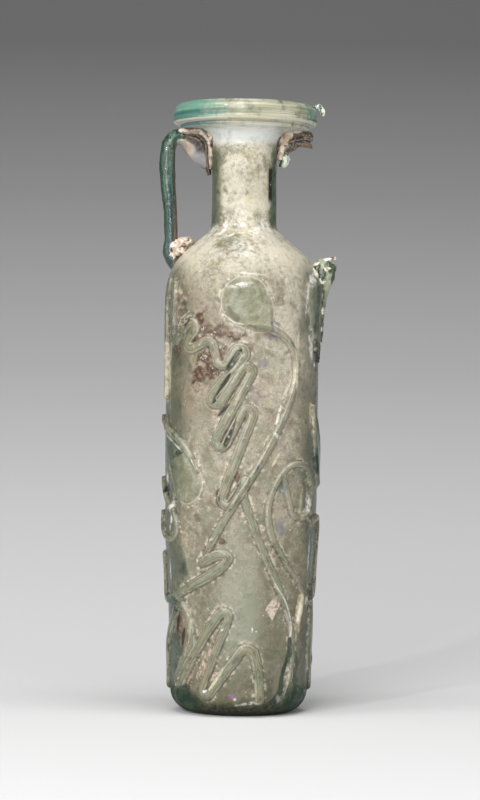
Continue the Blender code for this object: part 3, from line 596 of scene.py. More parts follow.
def grid_mesh(name, points, masks, pole=None):
    """A closed-round grid of points (rows, columns, 3) as a smooth mesh, each mask as a vertex attribute."""
    rows, columns = points.shape[:2]
    corners = points.reshape(-1, 3)
    index = np.arange(rows * columns).reshape(rows, columns)
    ahead = np.roll(index, -1, axis=1)
    faces = np.stack([index[:-1], ahead[:-1], ahead[1:], index[1:]], axis=-1).reshape(-1, 4)
    mesh = bpy.data.meshes.new(name)
    faces = [tuple(face) for face in faces.tolist()]
    values = {key: mask.reshape(-1) for key, mask in masks.items()}
    if pole is not None:
        row, point = pole
        corners = np.vstack([corners, point])
        edge = index[row]
        last = len(corners) - 1
        for a, b in zip(edge.tolist(), np.roll(edge, -1).tolist()):
            faces.append((b, a, last) if row == 0 else (a, b, last))
        values = {key: np.append(mask, mask[edge[0]]) for key, mask in values.items()}
    mesh.from_pydata(corners.tolist(), [], faces)
    for key, mask in values.items():
        mesh.attributes.new(key, "FLOAT", "POINT").data.foreach_set("value", mask.astype(np.float32))
    mesh.shade_smooth()
    return mesh


def turned(distance, height, lift, angle):
    """Points round the axis at those distances, heights and lifts. The rim leans a little to one side."""
    points = np.empty((*distance.shape, 3))
    points[..., 0] = distance * np.sin(angle)
    points[..., 1] = -distance * np.cos(angle)
    lean = mapped(height, *LEANING) * math.tan(RIM_LEAN)
    points[..., 2] = height + lift + lean * points[..., 0]
    return points


def found_deposits_and_highlights(wall):
    """Where each deposit and each painted highlight lies, from its spots and strokes, at the front and half
    a turn round.
    """
    spots = {"brown": BROWN, "pink": PINK, "bright": CRUST_AND_HIGHLIGHTS, "gold": GOLD, "blue": BLUE, "teal": TEAL}
    found = {key: wall.spots(places) for key, places in {**spots, "violet": VIOLET}.items()}
    for key, places, half in STROKES:
        for turn in (0, HALF_TURN):
            line = [on_wall(degrees + turn, height) for degrees, height in places]
            wall.stroke(found[key], line, half * MM)
    return found


def outside_of_flask(material):
    """The outside from the foot to the lip, with its applied glass, its deposit spots and its painted shade
    and highlights, in pieces.
    """
    radius, height, away, up = stepped_rows(rounded(OUTSIDE), ROW_STEP, PLAIN_ROW_STEP)
    wall = Wall(height)
    applied_glass(wall)
    found = found_deposits_and_highlights(wall)
    level = height[:, None]
    body, foot = 1 - mapped(level, *SHOULDER_FADE), mapped(level, *FOOT_FADE)
    on_body = body * foot
    x, y = np.meshgrid(wall.x, height)
    crumbs = speckle(x, y, SMALL_CRUMBS, 11, wall.lap) * 0.6 + speckle(x, y, CRUMBS, 12, wall.lap) * 0.4
    waver = speckle(x, y, WAVER_SIZE, 13, wall.lap) - 0.5
    soil = np.clip(found["brown"] + found["pink"] + 0.6 * found["bright"] + wall.flake, 0, 1)
    applied = wall.rise * (1 - SLIT_DEPTH * wall.crack) + soil * (crumbs - 0.3) * SOIL_RISE
    rise = on_body * applied + WAVER_RISE * waver * foot
    points = turned(radius[:, None] + away[:, None] * rise, level, up[:, None] * rise, wall.x / BODY_RADIUS)
    hollows = on_body * (1 - mapped(wall.rise / TRAIL_RISE, *HOLLOW_SHARES))
    reach = {"brown": hollows, "pink": hollows, "bright": level < NECK_FOOT}
    reach.update({"teal": body > 0, "violet": body > 0})
    masks = {key: mask * reach.get(key, on_body) for key, mask in found.items()}
    for key in ("thread", "line", "contact_shade", "leaf", "crack", "flake"):
        masks[key] = getattr(wall, key) * on_body
    masks["slit"] = wall.near * (wall.rise / TRAIL_RISE < HOLLOW_SHARES[0]) * on_body
    cuts = [1, *(int(np.searchsorted(height, top * MM)) for _, top in WALL_PIECES)]
    for (name, _), first, last in zip(WALL_PIECES, cuts, cuts[1:]):
        rows = slice(first, last + 1)
        pole = (0, (0, 0, 0)) if first == 1 else None
        part = {key: mask[rows] for key, mask in masks.items()}
        piece(name, grid_mesh(name, points[rows], part, pole), material)


def hollow_of_flask(material):
    """The mouth and the hollow, from the lip down to a pole at the bottom."""
    radius, height, _, _ = stepped_rows(rounded(INSIDE), INSIDE_ROW_STEP, INSIDE_ROW_STEP)
    angle = np.arange(INSIDE_COLUMNS) * 2 * math.pi / INSIDE_COLUMNS
    distance = radius[:-1, None] * np.ones(INSIDE_COLUMNS)
    pole = (len(radius) - 2, (0, 0, height[-1]))
    piece("hollow", grid_mesh("hollow", turned(distance, height[:-1, None], 0, angle), {}, pole), material)


def marked_mesh(name, bm, marks):
    """A smooth mesh, with the (groove, rough) marks of its points as vertex attributes."""
    mesh = bpy.data.meshes.new(name)
    bm.to_mesh(mesh)
    bm.free()
    for key, values in zip(("groove", "rough"), zip(*marks)):
        data = mesh.attributes.new(key, "FLOAT", "POINT").data
        data.foreach_set("value", np.array(values, dtype=np.float32))
    mesh.shade_smooth()
    return mesh


def rod(name, stations, side, material, lobes=0, groove=0.0, crust=0.0):
    """A bent rod of glass in the XZ plane through (reach, height, half width, half depth) stations. Lobes
    fold its section into layers; the grooves between them and its crust go to vertex attributes."""
    line = flowing([Vector(station) * MM for station in stations], ROD_STEP)
    centres = [Vector((side * point.x, 0, point.y)) for point in line]
    bm = bmesh.new()
    rows, marks = [], []
    for i, point in enumerate(line):
        run = (centres[min(i + 1, len(line) - 1)] - centres[max(i - 1, 0)]).normalized()
        across = Vector((-run.z, 0, run.x))
        row = []
        for k in range(ROD_SIDES):
            t = 2 * math.pi * k / ROD_SIDES
            wander = noise.noise(Vector((i * ROD_STEP / FOLD_WANDER_SIZE, 3.1, len(name))))
            fold = 0.5 + 0.5 * math.cos(lobes * (t + FOLD_WANDER * wander)) if lobes else 1.0
            outward = across * math.cos(t) * point.z + Vector((0, math.sin(t) * point.w, 0))
            place = centres[i] + outward * (1 - groove * (1 - fold) ** GROOVE_SHARPNESS)
            rough = noise.fractal(place / ROD_CRUMBS, 0.6, 2.1, 4)
            soft = noise.noise(place / ROD_WAVER_SIZE)
            place += outward.normalized() * (crust * MM * rough + ROD_WAVER * soft)
            row.append(bm.verts.new(place))
            marks.append((1 - fold, rough))
        rows.append(row)
    for low, high in zip(rows, rows[1:]):
        for k in range(ROD_SIDES):
            j = (k + 1) % ROD_SIDES
            bm.faces.new((low[k], low[j], high[j], high[k]))
    for row in (rows[0], rows[-1]):
        tip = bm.verts.new(sum((corner.co for corner in row), Vector()) / ROD_SIDES)
        marks.append(END_MARKS)
        for k in range(ROD_SIDES):
            bm.faces.new((row[k], row[(k + 1) % ROD_SIDES], tip))
    bmesh.ops.recalc_face_normals(bm, faces=bm.faces)
    piece(name, marked_mesh(name, bm, marks), material)


def lump(name, place, sizes, material):
    """A crumbly lump of soil and crust."""
    bm = bmesh.new()
    bmesh.ops.create_icosphere(bm, subdivisions=4, radius=1)
    size, marks = Vector(sizes) * MM, []
    for corner in bm.verts:
        seat = Vector(place) * MM + corner.co * size
        rough = noise.fractal(seat / LUMP_CRUMBS + Vector((len(name), 0, 0)), 0.7, 2.1, 5)
        marks.append((0.0, rough))
        corner.co = seat + corner.co.normalized() * rough * LUMP_ROUGHNESS * min(size)
    piece(name, marked_mesh(name, bm, marks), material)


class Value:
    """A socket of a material's nodes, as a value that sums and products can be written with."""

    def __init__(self, paint, socket):
        self.paint, self.socket = paint, socket

    def math(self, operation, *others, clamp=False):
        settings = {"operation": operation, "use_clamp": clamp}
        return self.paint.node("ShaderNodeMath", settings, dict(enumerate((self, *others))))

    def __add__(self, other):
        return self.math("ADD", other)

    def __mul__(self, other):
        return self.math("MULTIPLY", other)

    def __sub__(self, other):
        return self.math("SUBTRACT", other)

    def __truediv__(self, other):
        return self.math("DIVIDE", other)

    def __rsub__(self, other):
        return self * -1 + other

    __radd__ = __add__
    __rmul__ = __mul__

    def size(self):
        """The value without its sign."""
        return self.math("ABSOLUTE")

    def clamped(self):
        return self.math("ADD", 0, clamp=True)

    def step(self, low, high):
        """0 at low and below, 1 at high and above, smooth between."""
        kept = {"interpolation_type": "SMOOTHSTEP"}
        return self.paint.node("ShaderNodeMapRange", kept, {"Value": self, "From Min": low, "From Max": high})

    def past(self, low, high):
        """The same step for a place, with its ends in millimetres."""
        return self.step(low * MM, high * MM)

    def between(self, rising, risen, falling, fallen):
        """1 in a band of places with soft borders, in millimetres."""
        return self.past(rising, risen) * (1 - self.past(falling, fallen))


class Paint:
    """The node tree of one material."""

    def __init__(self, name):
        self.material = bpy.data.materials.new(name)
        self.material.use_nodes = True
        self.tree = self.material.node_tree
        self.tree.nodes.clear()

    def node(self, kind, settings=None, inputs=None, output=0):
        """Adds a node: its settings first, then the values or links of its sockets."""
        made = self.tree.nodes.new(kind)
        for key, value in (settings or {}).items():
            setattr(made, key, value)
        for key, value in (inputs or {}).items():
            if isinstance(value, Value):
                self.tree.links.new(value.socket, made.inputs[key])
            else:
                made.inputs[key].default_value = value
        return Value(self, made.outputs[output])

    def place(self):
        return self.node("ShaderNodeTexCoord", output="Object")

    def attribute(self, name):
        return self.node("ShaderNodeAttribute", {"attribute_name": name}, output="Fac")

    def axis(self, name):
        return self.node("ShaderNodeSeparateXYZ", None, {0: self.place()}, name)

    def noise(self, size, detail=3, stretch=(1, 1, 1), seed=0.0, roughness=0.55):
        """Noise from about 0 to 1 whose patches measure about that many millimetres."""
        scale = tuple(1 / (size * MM * part) for part in stretch)
        moved = {"Vector": self.place(), "Scale": scale, "Location": (seed,) * 3}
        spread = self.node("ShaderNodeMapping", None, moved)
        inputs = {"Vector": spread, "Scale": 1.0, "Detail": detail, "Roughness": roughness}
        return self.node("ShaderNodeTexNoise", {"noise_dimensions": "3D"}, inputs)

    def mix(self, share, first, second):
        """The second colour over the first by that share, which the node keeps from 0 to 1."""
        inputs = {MIX_SHARE: share}
        for key, tone in ((MIX_FIRST, first), (MIX_SECOND, second)):
            inputs[key] = tone if isinstance(tone, Value) else (*tone, 1)
        return self.node("ShaderNodeMix", {"data_type": "RGBA"}, inputs, MIX_COLOUR)

    def ramp(self, share, stops):
        """Colours at the places of a ramp."""
        made = self.node("ShaderNodeValToRGB", None, {0: share})
        points = made.socket.node.color_ramp.elements
        while len(points) < len(stops):
            points.new(1.0)
        for point, (place, shade) in zip(points, stops):
            point.position, point.color = place, (*shade, 1)
        return made

    def bump(self, height, strength, distance):
        """Relief for light only, that many millimetres deep."""
        inputs = {"Height": height, "Strength": strength, "Distance": distance * MM}
        return self.node("ShaderNodeBump", None, inputs)

    def shader(self, tone, roughness, bump=None, **plain):
        """A Principled shader; plain values go to the sockets of those names."""
        inputs = {"Base Color": tone if isinstance(tone, Value) else (*tone, 1), "Roughness": roughness}
        if bump:
            inputs["Normal"] = bump
        inputs.update({key.replace("_", " "): value for key, value in plain.items()})
        return self.node("ShaderNodeBsdfPrincipled", None, inputs)

    def clear_glass(self, tint, roughness, bump=None):
        return self.shader(tint, roughness, bump, Transmission_Weight=1.0, IOR=GLASS_IOR)

    def covered(self, cover, under, over):
        """One shader over another by the share that it covers."""
        return self.node("ShaderNodeMixShader", None, {0: cover, 1: under, 2: over})

    def finish(self, shader):
        out = self.tree.nodes.new("ShaderNodeOutputMaterial")
        self.tree.links.new(shader.socket, out.inputs["Surface"])
        return self.material


class Film(Paint):
    """A film laid on in layers, with the patterns and the places that the layers share."""

    def __init__(self, name):
        super().__init__(name)
        self.height, self.side = self.axis("Z"), self.axis("X")
        self.across = self.side.size()
        self.broad = self.noise(13)
        self.patchy = self.noise(5, seed=27.0)
        self.mottle = self.noise(3.5, 5, seed=3.0)
        self.coarse = self.noise(2.4, 6, seed=17.0, roughness=0.68)
        self.fine = self.noise(1.2, 4, seed=7.0)
        self.grain = self.noise(0.45, 2, seed=9.0)
        self.thread, self.leaf = self.attribute("thread"), self.attribute("leaf")
        self.brown, self.crack = self.attribute("brown"), self.attribute("crack")
        self.teal = self.attribute("teal") * self.mottle.step(0.25, 0.45)
        cloud = self.broad * 0.35 + self.mottle * 0.4 + self.fine * 0.25
        self.tone = self.mix(cloud.step(0.4, 0.6), GREY, PALE)

    def lay(self, share, tone):
        """Lays another tone over what is there, by that share."""
        self.tone = self.mix(share, self.tone, tone)


def colour(red, green, blue):
    """A colour as it looks on a screen, 0 to 255, in the light's own scale."""
    shares = [part / 255 for part in (red, green, blue)]
    return tuple(part / 12.92 if part < 0.04045 else ((part + 0.055) / 1.055) ** 2.4 for part in shares)


# The film, from its cream patches to its stains
WHITE = colour(242, 240, 232)
CREAM = colour(226, 218, 198)
IVORY = colour(216, 209, 186)
PALE = colour(184, 173, 153)
BUFF = colour(176, 162, 144)
MIST = colour(178, 182, 164)
YELLOW = colour(176, 164, 118)
LICHEN = colour(140, 140, 112)
MOSS = colour(138, 144, 122)
GREY = colour(127, 120, 99)
STAIN = colour(112, 108, 80)
UMBER = colour(108, 94, 68)
DIRT = colour(92, 88, 66)
PIT = colour(92, 84, 64)
OLIVE = colour(82, 81, 56)
# Soil and crust, and the painted shade along the trails' borders
ROSE = colour(190, 172, 154)
CLAY = colour(122, 98, 78)
LOAM = colour(116, 88, 66)
RUST = colour(106, 70, 50)
EARTH = colour(62, 45, 31)
SHADOW = colour(58, 50, 36)
DARK = colour(34, 28, 20)
SCALE_PALE, SCALE_DULL = colour(204, 190, 172), colour(150, 134, 116)
# The shine of the film where light breaks up in it
GOLDEN = colour(216, 206, 176)
SLATE = colour(104, 108, 124)
PURPLE = colour(172, 84, 170)
# Trails, leaves and bare glass
THREAD_GREEN, THREAD_FLANK_SHADE = colour(106, 110, 84), colour(98, 98, 74)
REED, STRAW = colour(147, 149, 121), colour(161, 150, 116)
LEAF_PALE, LEAF_DEEP = colour(158, 160, 130), colour(110, 118, 86)
GLASS_PALE, GLASS_DEEP = colour(150, 180, 160), colour(96, 150, 132)
BOTTLE_GREEN = colour(38, 58, 44)
# Funnel and collar
GLARE, FROST = colour(238, 240, 236), colour(156, 168, 154)
RIM_PALE, RIM_DULL = colour(214, 210, 188), colour(158, 154, 126)
RIM_OLIVE, RIM_GROOVE = colour(122, 120, 86), colour(104, 108, 82)
SEA_PALE, SEA_GREEN = colour(112, 158, 138), colour(84, 142, 122)
SEA_BLUE, SEA_GROOVE = colour(64, 104, 110), colour(44, 98, 96)
# Sides of the neck, and the foot
NECK_OLIVE, NECK_TEAL, NECK_GREEN = colour(78, 88, 62), colour(34, 68, 62), colour(104, 118, 90)
FOOT_OLIVE, FOOT_DARK = colour(62, 62, 38), colour(20, 27, 17)
CORNER_GREEN, CORNER_TEAL = colour(40, 60, 36), colour(4, 34, 26)
FOOT_RING = colour(14, 16, 10)
# The whole handle
ROD_DEEP, ROD_GREEN, ROD_BLUE = colour(22, 54, 40), colour(62, 96, 72), colour(36, 56, 84)
ROD_SHINE, ROD_FLECK = colour(150, 172, 150), colour(170, 186, 164)
ROD_CRUST, ROD_GLASS = colour(138, 108, 92), colour(58, 124, 104)
WEB_DULL, WEB_PALE = colour(132, 116, 104), colour(176, 160, 142)
WEB_BLUE, WEB_GREEN = colour(96, 102, 116), colour(66, 104, 90)
# The roots of the broken one
LAYER_BROWN, LAYER_BLACK = colour(108, 90, 66), colour(24, 18, 12)
LAYER_DULL, LAYER_CREAM = colour(40, 32, 26), colour(182, 164, 132)
STUB_PALE, STUB_MOSS, STUB_DEEP = colour(148, 152, 126), colour(92, 102, 72), colour(44, 62, 40)
STUB_FROST = colour(206, 214, 198)
# Lumps of crust, pinkish and white, and the soil in them
PINK_CRUST = colour(216, 206, 190), colour(184, 160, 138)
WHITE_CRUST = colour(224, 223, 212), colour(172, 174, 152)
LUMP_SOIL = colour(112, 92, 74)
# The mouth and the hollow
HOLLOW_DULL, HOLLOW_PALE, HOLLOW_GLASS = colour(150, 156, 132), colour(190, 190, 168), colour(170, 200, 184)


def patches_of_film(film):
    """Cream, buff and mossy patches with olive veins, pale threads and dirt."""
    mottle, coarse, patchy, fine = film.mottle, film.coarse, film.patchy, film.fine
    film.lay((mottle * 0.5 + coarse * 0.5).step(0.52, 0.64) * 0.55, CREAM)
    film.lay(patchy.step(0.46, 0.6) * 0.25, BUFF)
    film.lay(film.noise(8, seed=37.0).step(0.48, 0.62) * 0.42, MOSS)
    film.lay((fine * 0.4 + coarse * 0.6).step(0.47, 0.34) * patchy.step(0.3, 0.6) * 0.5, OLIVE)
    veins = 1 - (film.noise(2.2, 4, seed=31.0) - 0.5).size().step(0.005, 0.04)
    film.lay(veins * mottle.step(0.4, 0.6) * 0.35, OLIVE)
    threads = (film.noise(3.4, 5, seed=41.0, roughness=0.62) - 0.5).size().step(0.014, 0.002)
    film.lay(threads * mottle.step(0.42, 0.6) * 0.7, CREAM)
    film.lay((fine * 0.4 + film.grain * 0.6).step(0.56, 0.64) * 0.5, DIRT)


def tints_of_wall(film):
    """What changes over the whole wall: darker to the foot, painted shade round the sides as seen from
    the front, creamier at the right.
    """
    height, side, across, broad = film.height, film.side, film.across, film.broad
    film.lay((1 - height.past(-10, 90)) * 0.85, OLIVE)
    film.lay(side.past(0, -16) * height.between(84, 100, 134, 148) * 0.45, UMBER)
    film.lay(side.past(2, 14) * height.past(98, 118) * film.mottle.step(0.3, 0.55) * 0.3, CREAM)
    film.lay((1 - across.past(3, 10)) * height.between(10, 26, 46, 70) * 0.35, MIST)
    film.lay(height.past(142, 150) * across.past(7, 22) * 0.4, LICHEN)
    film.lay(height.between(30, 50, 84, 100) * 0.14, OLIVE)
    # Painted shade of olive and bottle green round the sides, as seen from the front
    reach = across + film.mottle * (5 * MM) + (broad - 0.5) * (12 * MM) + side.past(0, -1) * MM
    film.wall_side = reach.past(20, 26) * (1 - height.past(143, 150))
    film.lay(film.wall_side * 0.65, film.mix(broad.step(0.4, 0.6), OLIVE, BOTTLE_GREEN))


def tints_of_shoulder(film):
    """The cream shoulder, and the neck, cream with stains at both ends."""
    height, mottle, coarse, fine = film.height, film.mottle, film.coarse, film.fine
    upper = height.past(138, 156)
    film.lay(upper * (fine * 0.4 + film.broad * 0.6).step(0.36, 0.56) * 0.8, CREAM)
    film.lay(upper * film.noise(5, seed=12.0).step(0.52, 0.7) * 0.5, YELLOW)
    neck = height.past(157, 160)
    ends = 1 - height.past(162, 167) + height.past(172, 180)
    film.lay(neck * (1 - ends).clamped() * mottle.step(0.34, 0.5) * 0.6, IVORY)
    stains = (coarse * 0.4 + mottle * 0.6).step(0.46, 0.58) * ends * 0.6
    specks = (fine * 0.4 + film.grain * 0.6).step(0.55, 0.62) * (ends * 0.4 + 0.14)
    film.lay((stains + specks) * neck, STAIN)
    film.lay(height.between(154, 157, 160, 163) * coarse.step(0.5, 0.58) * 0.8, WHITE)


def tints_of_trails(film):
    """Green leaves, and trails streaked along their length, with painted shade on their flanks."""
    thread, mottle, fine = film.thread, film.mottle, film.fine
    leafy = film.mix((film.coarse * 0.5 + mottle * 0.5).step(0.42, 0.6), LEAF_DEEP, LEAF_PALE)
    film.lay(film.leaf * 0.5, leafy)
    streaks = (thread * 17 + mottle * 7 + fine * 2).math("SINE").step(-0.5, 0.9)
    crest = film.mix(streaks, THREAD_GREEN, film.mix(film.broad.step(0.45, 0.6), REED, STRAW))
    # Painted shade on the trails' flanks, the crest left lighter
    flanked = film.mix((thread + (fine - 0.5) * 0.5).step(0.3, 0.62), THREAD_FLANK_SHADE, crest)
    film.lay((thread * 1.2).clamped() * 0.7, flanked)


def deposits_and_painted_light(film):
    """Soil, crust and stains in the hollows by the trails, painted shade and highlight lines along the
    trails' borders, white crust with painted highlights, and the film's shine.
    """
    mottle, coarse, patchy, fine, grain = film.mottle, film.coarse, film.patchy, film.fine, film.grain
    slit = film.attribute("slit")
    film.lay(film.attribute("blue") * coarse.step(0.3, 0.6) * 0.9, SLATE)
    film.lay(slit.step(0.8, 1.4) * mottle.step(0.35, 0.55) * 0.4, RUST)
    crusty = slit.step(0.12, 0.6) * (coarse * 0.7 + fine * 0.3).step(0.48, 0.54) * patchy.step(0.4, 0.5)
    film.lay(crusty * 0.75, film.mix(fine.step(0.45, 0.6), ROSE, CREAM))
    rosy = film.mix((fine * 0.6 + grain * 0.4).step(0.42, 0.58), CLAY, ROSE)
    film.lay(film.attribute("pink") * (coarse * 0.7 + fine * 0.3).step(0.36, 0.54), rosy)
    soil = film.brown * (fine * 0.4 + coarse * 0.6).step(0.3, 0.42)
    film.lay(soil, film.mix(fine.step(0.44, 0.66), EARTH, LOAM))
    film.lay(film.brown * (grain * 0.5 + coarse * 0.5).step(0.57, 0.63) * 0.6, CREAM)
    torn = (fine * 0.45 + grain * 0.15 + coarse * 0.4).step(0.42, 0.52)
    film.lay(film.attribute("gold") * (torn * 0.6 + 0.35), GOLDEN)
    film.lay(film.teal * 0.85, BOTTLE_GREEN)
    # Painted shade just outside the trails' borders
    film.lay(film.attribute("contact_shade") * (patchy * 0.5 + coarse * 0.5).step(0.38, 0.54) * 0.6, SHADOW)
    film.lay(film.crack * 0.97, DARK)
    # Painted highlight line just inside the trails' borders
    film.lay(film.attribute("line") * (patchy * 0.4 + coarse * 0.6).step(0.6, 0.45) * 0.5, CREAM)
    scale = film.mix((fine * 0.5 + coarse * 0.5).step(0.42, 0.52), SCALE_DULL, SCALE_PALE)
    film.lay(film.attribute("flake"), scale)
    # White crust, and painted highlights and glints
    film.lay(film.attribute("bright") * (torn * 0.75 + 0.2), WHITE)
    film.lay(film.attribute("violet") * 0.45, PURPLE)
    flakes = film.noise(2.6, 6, seed=21.0, roughness=0.7).step(0.65, 0.69) * patchy.step(0.42, 0.6)
    film.lay(flakes * 0.85, WHITE)
    film.lay(film.noise(1.7, 5, seed=23.0, roughness=0.7).step(0.64, 0.7) * 0.55, PIT)


def tints_of_rim(film):
    """The bright funnel, and the collar with its cream lip and its groove, sea green at its sides."""
    height, side, broad, mottle, fine = film.height, film.side, film.broad, film.mottle, film.fine
    swirl = film.noise(1.4, 4, stretch=(5, 5, 0.8), seed=51.0).step(0.4, 0.62)
    lustre = film.mix((swirl * 0.6 + 0.3) * film.across.past(6, 14), GLARE, FROST)
    film.lay(height.between(185, 189, 191.4, 192.4) * 0.9, lustre)
    bands = film.noise(1.0, 3, stretch=(30, 30, 0.5), seed=2.0)
    rim = film.mix(bands.step(0.35, 0.65), RIM_DULL, RIM_PALE)
    rim = film.mix((broad * 0.5 + mottle * 0.5).step(0.45, 0.6) * 0.6, rim, RIM_OLIVE)
    sea = film.mix(height.past(193.8, 195.6), SEA_BLUE, SEA_GREEN)
    sea = film.mix(height.past(196.4, 197.4), sea, SEA_PALE)
    sea = film.mix(bands.step(0.5, 0.7) * 0.6, sea, GLASS_PALE)
    groove = (height - 196.0 * MM).size().past(1.1, 0.2) * side.past(12, -4)
    rim, sea = film.mix(groove * 0.55, rim, RIM_GROOVE), film.mix(groove * 0.7, sea, SEA_GROOVE)
    ragged = side + (mottle * 0.5 + fine * 0.5 - 0.5) * (26 * MM)
    sides = (ragged + (bands - 0.5) * (14 * MM)).past(-3, -15) + ragged.past(17, 24)
    rim = film.mix(sides, rim, sea)
    rim = film.mix(height.between(192.9, 193.4, 193.9, 194.3) * 0.8, rim, CREAM)
    film.collar = height.past(191.4, 192.4)
    film.lay(film.collar, rim)


def sides_of_neck(film):
    """Dark bare glass at both sides of the neck, seen from the front, darkened with painted shade, and a
    dark slot along its right.
    """
    height, side, across, mottle = film.height, film.side, film.across, film.mottle
    border = 9.4 * MM - side.past(0, -1) * (1.8 * MM)
    # Painted shade at the neck's sides as seen from the front, over dark bare glass
    film.flank = (across + mottle * (3 * MM)).step(border, 11.0 * MM) * height.between(158, 161, 183, 188)
    right = film.mix(mottle.step(0.42, 0.6), NECK_TEAL, NECK_GREEN)
    film.lay(film.flank * 0.9, film.mix(side.past(-1, 1), NECK_OLIVE, right))
    slot = (across - 8.6 * MM).size().past(1.0, 0.4) * side.past(0, 1)
    slot = slot * (film.fine * 0.5 + film.coarse * 0.5).step(0.36, 0.46)
    film.slot = slot * height.between(166, 169, 178, 180)
    film.lay(film.slot, DARK)


def tints_of_foot(film):
    """The dark foot, greener at its corners, and the ring that it stands on."""
    corner = film.across.past(9, 17)
    border = film.height + (film.coarse - 0.5) * (6 * MM) - corner * (4 * MM)
    film.base = 1 - border.past(2.5, 7.5)
    foot = film.mix(film.fine.step(0.4, 0.65), FOOT_DARK, FOOT_OLIVE)
    green = film.mix(film.mottle.step(0.4, 0.6), CORNER_TEAL, CORNER_GREEN)
    film.lay(film.base * 0.96, film.mix(corner, foot, green))
    film.lay(film.height.past(2.4, 0.8) * 0.8, FOOT_RING)


def weathered_glass():
    """The outside: pale green glass under a mottled film, with soil in the hollows by the trails."""
    film = Film("weathered_glass")
    for laid in (patches_of_film, tints_of_wall, tints_of_shoulder, tints_of_trails, deposits_and_painted_light):
        laid(film)
    for laid in (tints_of_rim, sides_of_neck, tints_of_foot):
        laid(film)
    clear = film.teal + film.thread * 0.25 + film.leaf * 0.15
    clear = clear + film.collar * 0.25 + film.flank * 0.4 + film.wall_side * 0.3
    opaque = film.slot * 0.5 + film.crack * 0.3 + film.brown * 0.2 + film.base * 0.6
    cover = (0.82 - clear * 0.6 - film.mottle.step(0.5, 0.75) * 0.3 + opaque).clamped()
    relief = film.fine * 0.3 + film.coarse * 0.5 + film.mottle * 1.3 + film.broad * 2.0
    bump = film.bump(relief, 0.8, 0.45)
    shiny = film.thread * 0.7 + film.leaf * 0.2 + film.collar * 0.3 + 0.07
    coat = (shiny * (1 - film.base)).clamped()
    rough = film.mottle * 0.3 + 0.3 + film.base * 0.3
    skin = film.shader(film.tone, rough, bump, Coat_Weight=coat, Coat_Roughness=0.12, Specular_IOR_Level=0.35)
    glass = film.clear_glass(film.mix(film.broad.step(0.35, 0.65), GLASS_PALE, GLASS_DEEP), 0.05, bump)
    return film.finish(film.covered(cover, glass, skin))


def hollow_glass():
    """The mouth and the hollow: the same glass with a thin film."""
    paint = Paint("hollow_glass")
    skin = paint.shader(paint.mix(paint.noise(4, 4, seed=4.0).step(0.4, 0.6), HOLLOW_DULL, HOLLOW_PALE), 0.5)
    return paint.finish(paint.covered(0.6, paint.clear_glass(HOLLOW_GLASS, 0.1), skin))


def rod_glass():
    """The handle's rod: clear blue-green glass with streaks, crust along its inner side."""
    paint = Paint("rod_glass")
    streak = paint.noise(2.0, 4, stretch=(0.4, 0.6, 7), seed=1.0)
    fine = paint.noise(0.8, 4, seed=2.0)
    side, height = paint.axis("X"), paint.axis("Z")
    tint = paint.mix(streak.step(0.4, 0.6), ROD_DEEP, ROD_GREEN)
    middle = (side + 24.3 * MM + (streak - 0.5) * (3 * MM)).size().past(1.0, 0.4)
    core = middle * (1 - height.past(172, 182)) * (streak * 0.6 + fine * 0.4).step(0.4, 0.52)
    tint = paint.mix(core * 0.8, tint, ROD_BLUE)
    tint = paint.mix(middle * height.past(170, 178) * fine.step(0.35, 0.6) * 0.45, tint, ROD_SHINE)
    tint = paint.mix(fine.step(0.6, 0.7) * 0.3, tint, ROD_FLECK)
    inner = side.past(-23.6, -22.6) * fine.step(0.3, 0.5) * (1 - height.past(186, 189))
    tint = paint.mix(inner, tint, ROD_CRUST)
    bump = paint.bump(fine + streak, 0.5, 0.35)
    skin = paint.shader(tint, 0.3, bump, Coat_Weight=0.4, Coat_Roughness=0.14)
    return paint.finish(paint.covered(0.55, paint.clear_glass(ROD_GLASS, 0.05, bump), skin))


def folded_glass():
    """The whole handle's folded root: a smooth pinkish grey sheet, with a dull blue sheen by the neck."""
    paint = Paint("folded_glass")
    fine, patch = paint.noise(0.9, 5, seed=6.0), paint.noise(3.0, 4, seed=8.0)
    side = paint.axis("X")
    tone = paint.mix(patch.step(0.4, 0.6), WEB_DULL, WEB_PALE)
    tone = paint.mix((side + patch * (3 * MM)).past(-17.5, -13.5) * 0.7, tone, WEB_BLUE)
    tone = paint.mix((paint.attribute("groove") * 0.6 + fine * 0.6).step(0.6, 0.95) * 0.8, tone, DARK)
    tone = paint.mix(side.past(-20, -22.5) * 0.8, tone, WEB_GREEN)
    bump = paint.bump(fine + patch, 0.6, 0.35)
    return paint.finish(paint.shader(tone, fine * 0.3 + 0.25, bump, Coat_Weight=0.3, Coat_Roughness=0.12))


def dark_layers():
    """The ragged layers of the roots: nearly black glass with brown and cream edges."""
    paint = Paint("dark_layers")
    fine, patch = paint.noise(0.9, 5, seed=6.0), paint.noise(2.6, 4, seed=8.0)
    tone = paint.mix(paint.attribute("groove").step(0.25, 0.75), LAYER_BROWN, LAYER_BLACK)
    tone = paint.mix(patch.step(0.42, 0.58) * 0.75, tone, LAYER_DULL)
    tone = paint.mix((fine * 0.6 + patch * 0.4).step(0.55, 0.64), tone, LAYER_CREAM)
    bump = paint.bump(fine + patch, 0.8, 0.4)
    return paint.finish(paint.shader(tone, fine * 0.4 + 0.2, bump, Coat_Weight=0.5, Coat_Roughness=0.08))


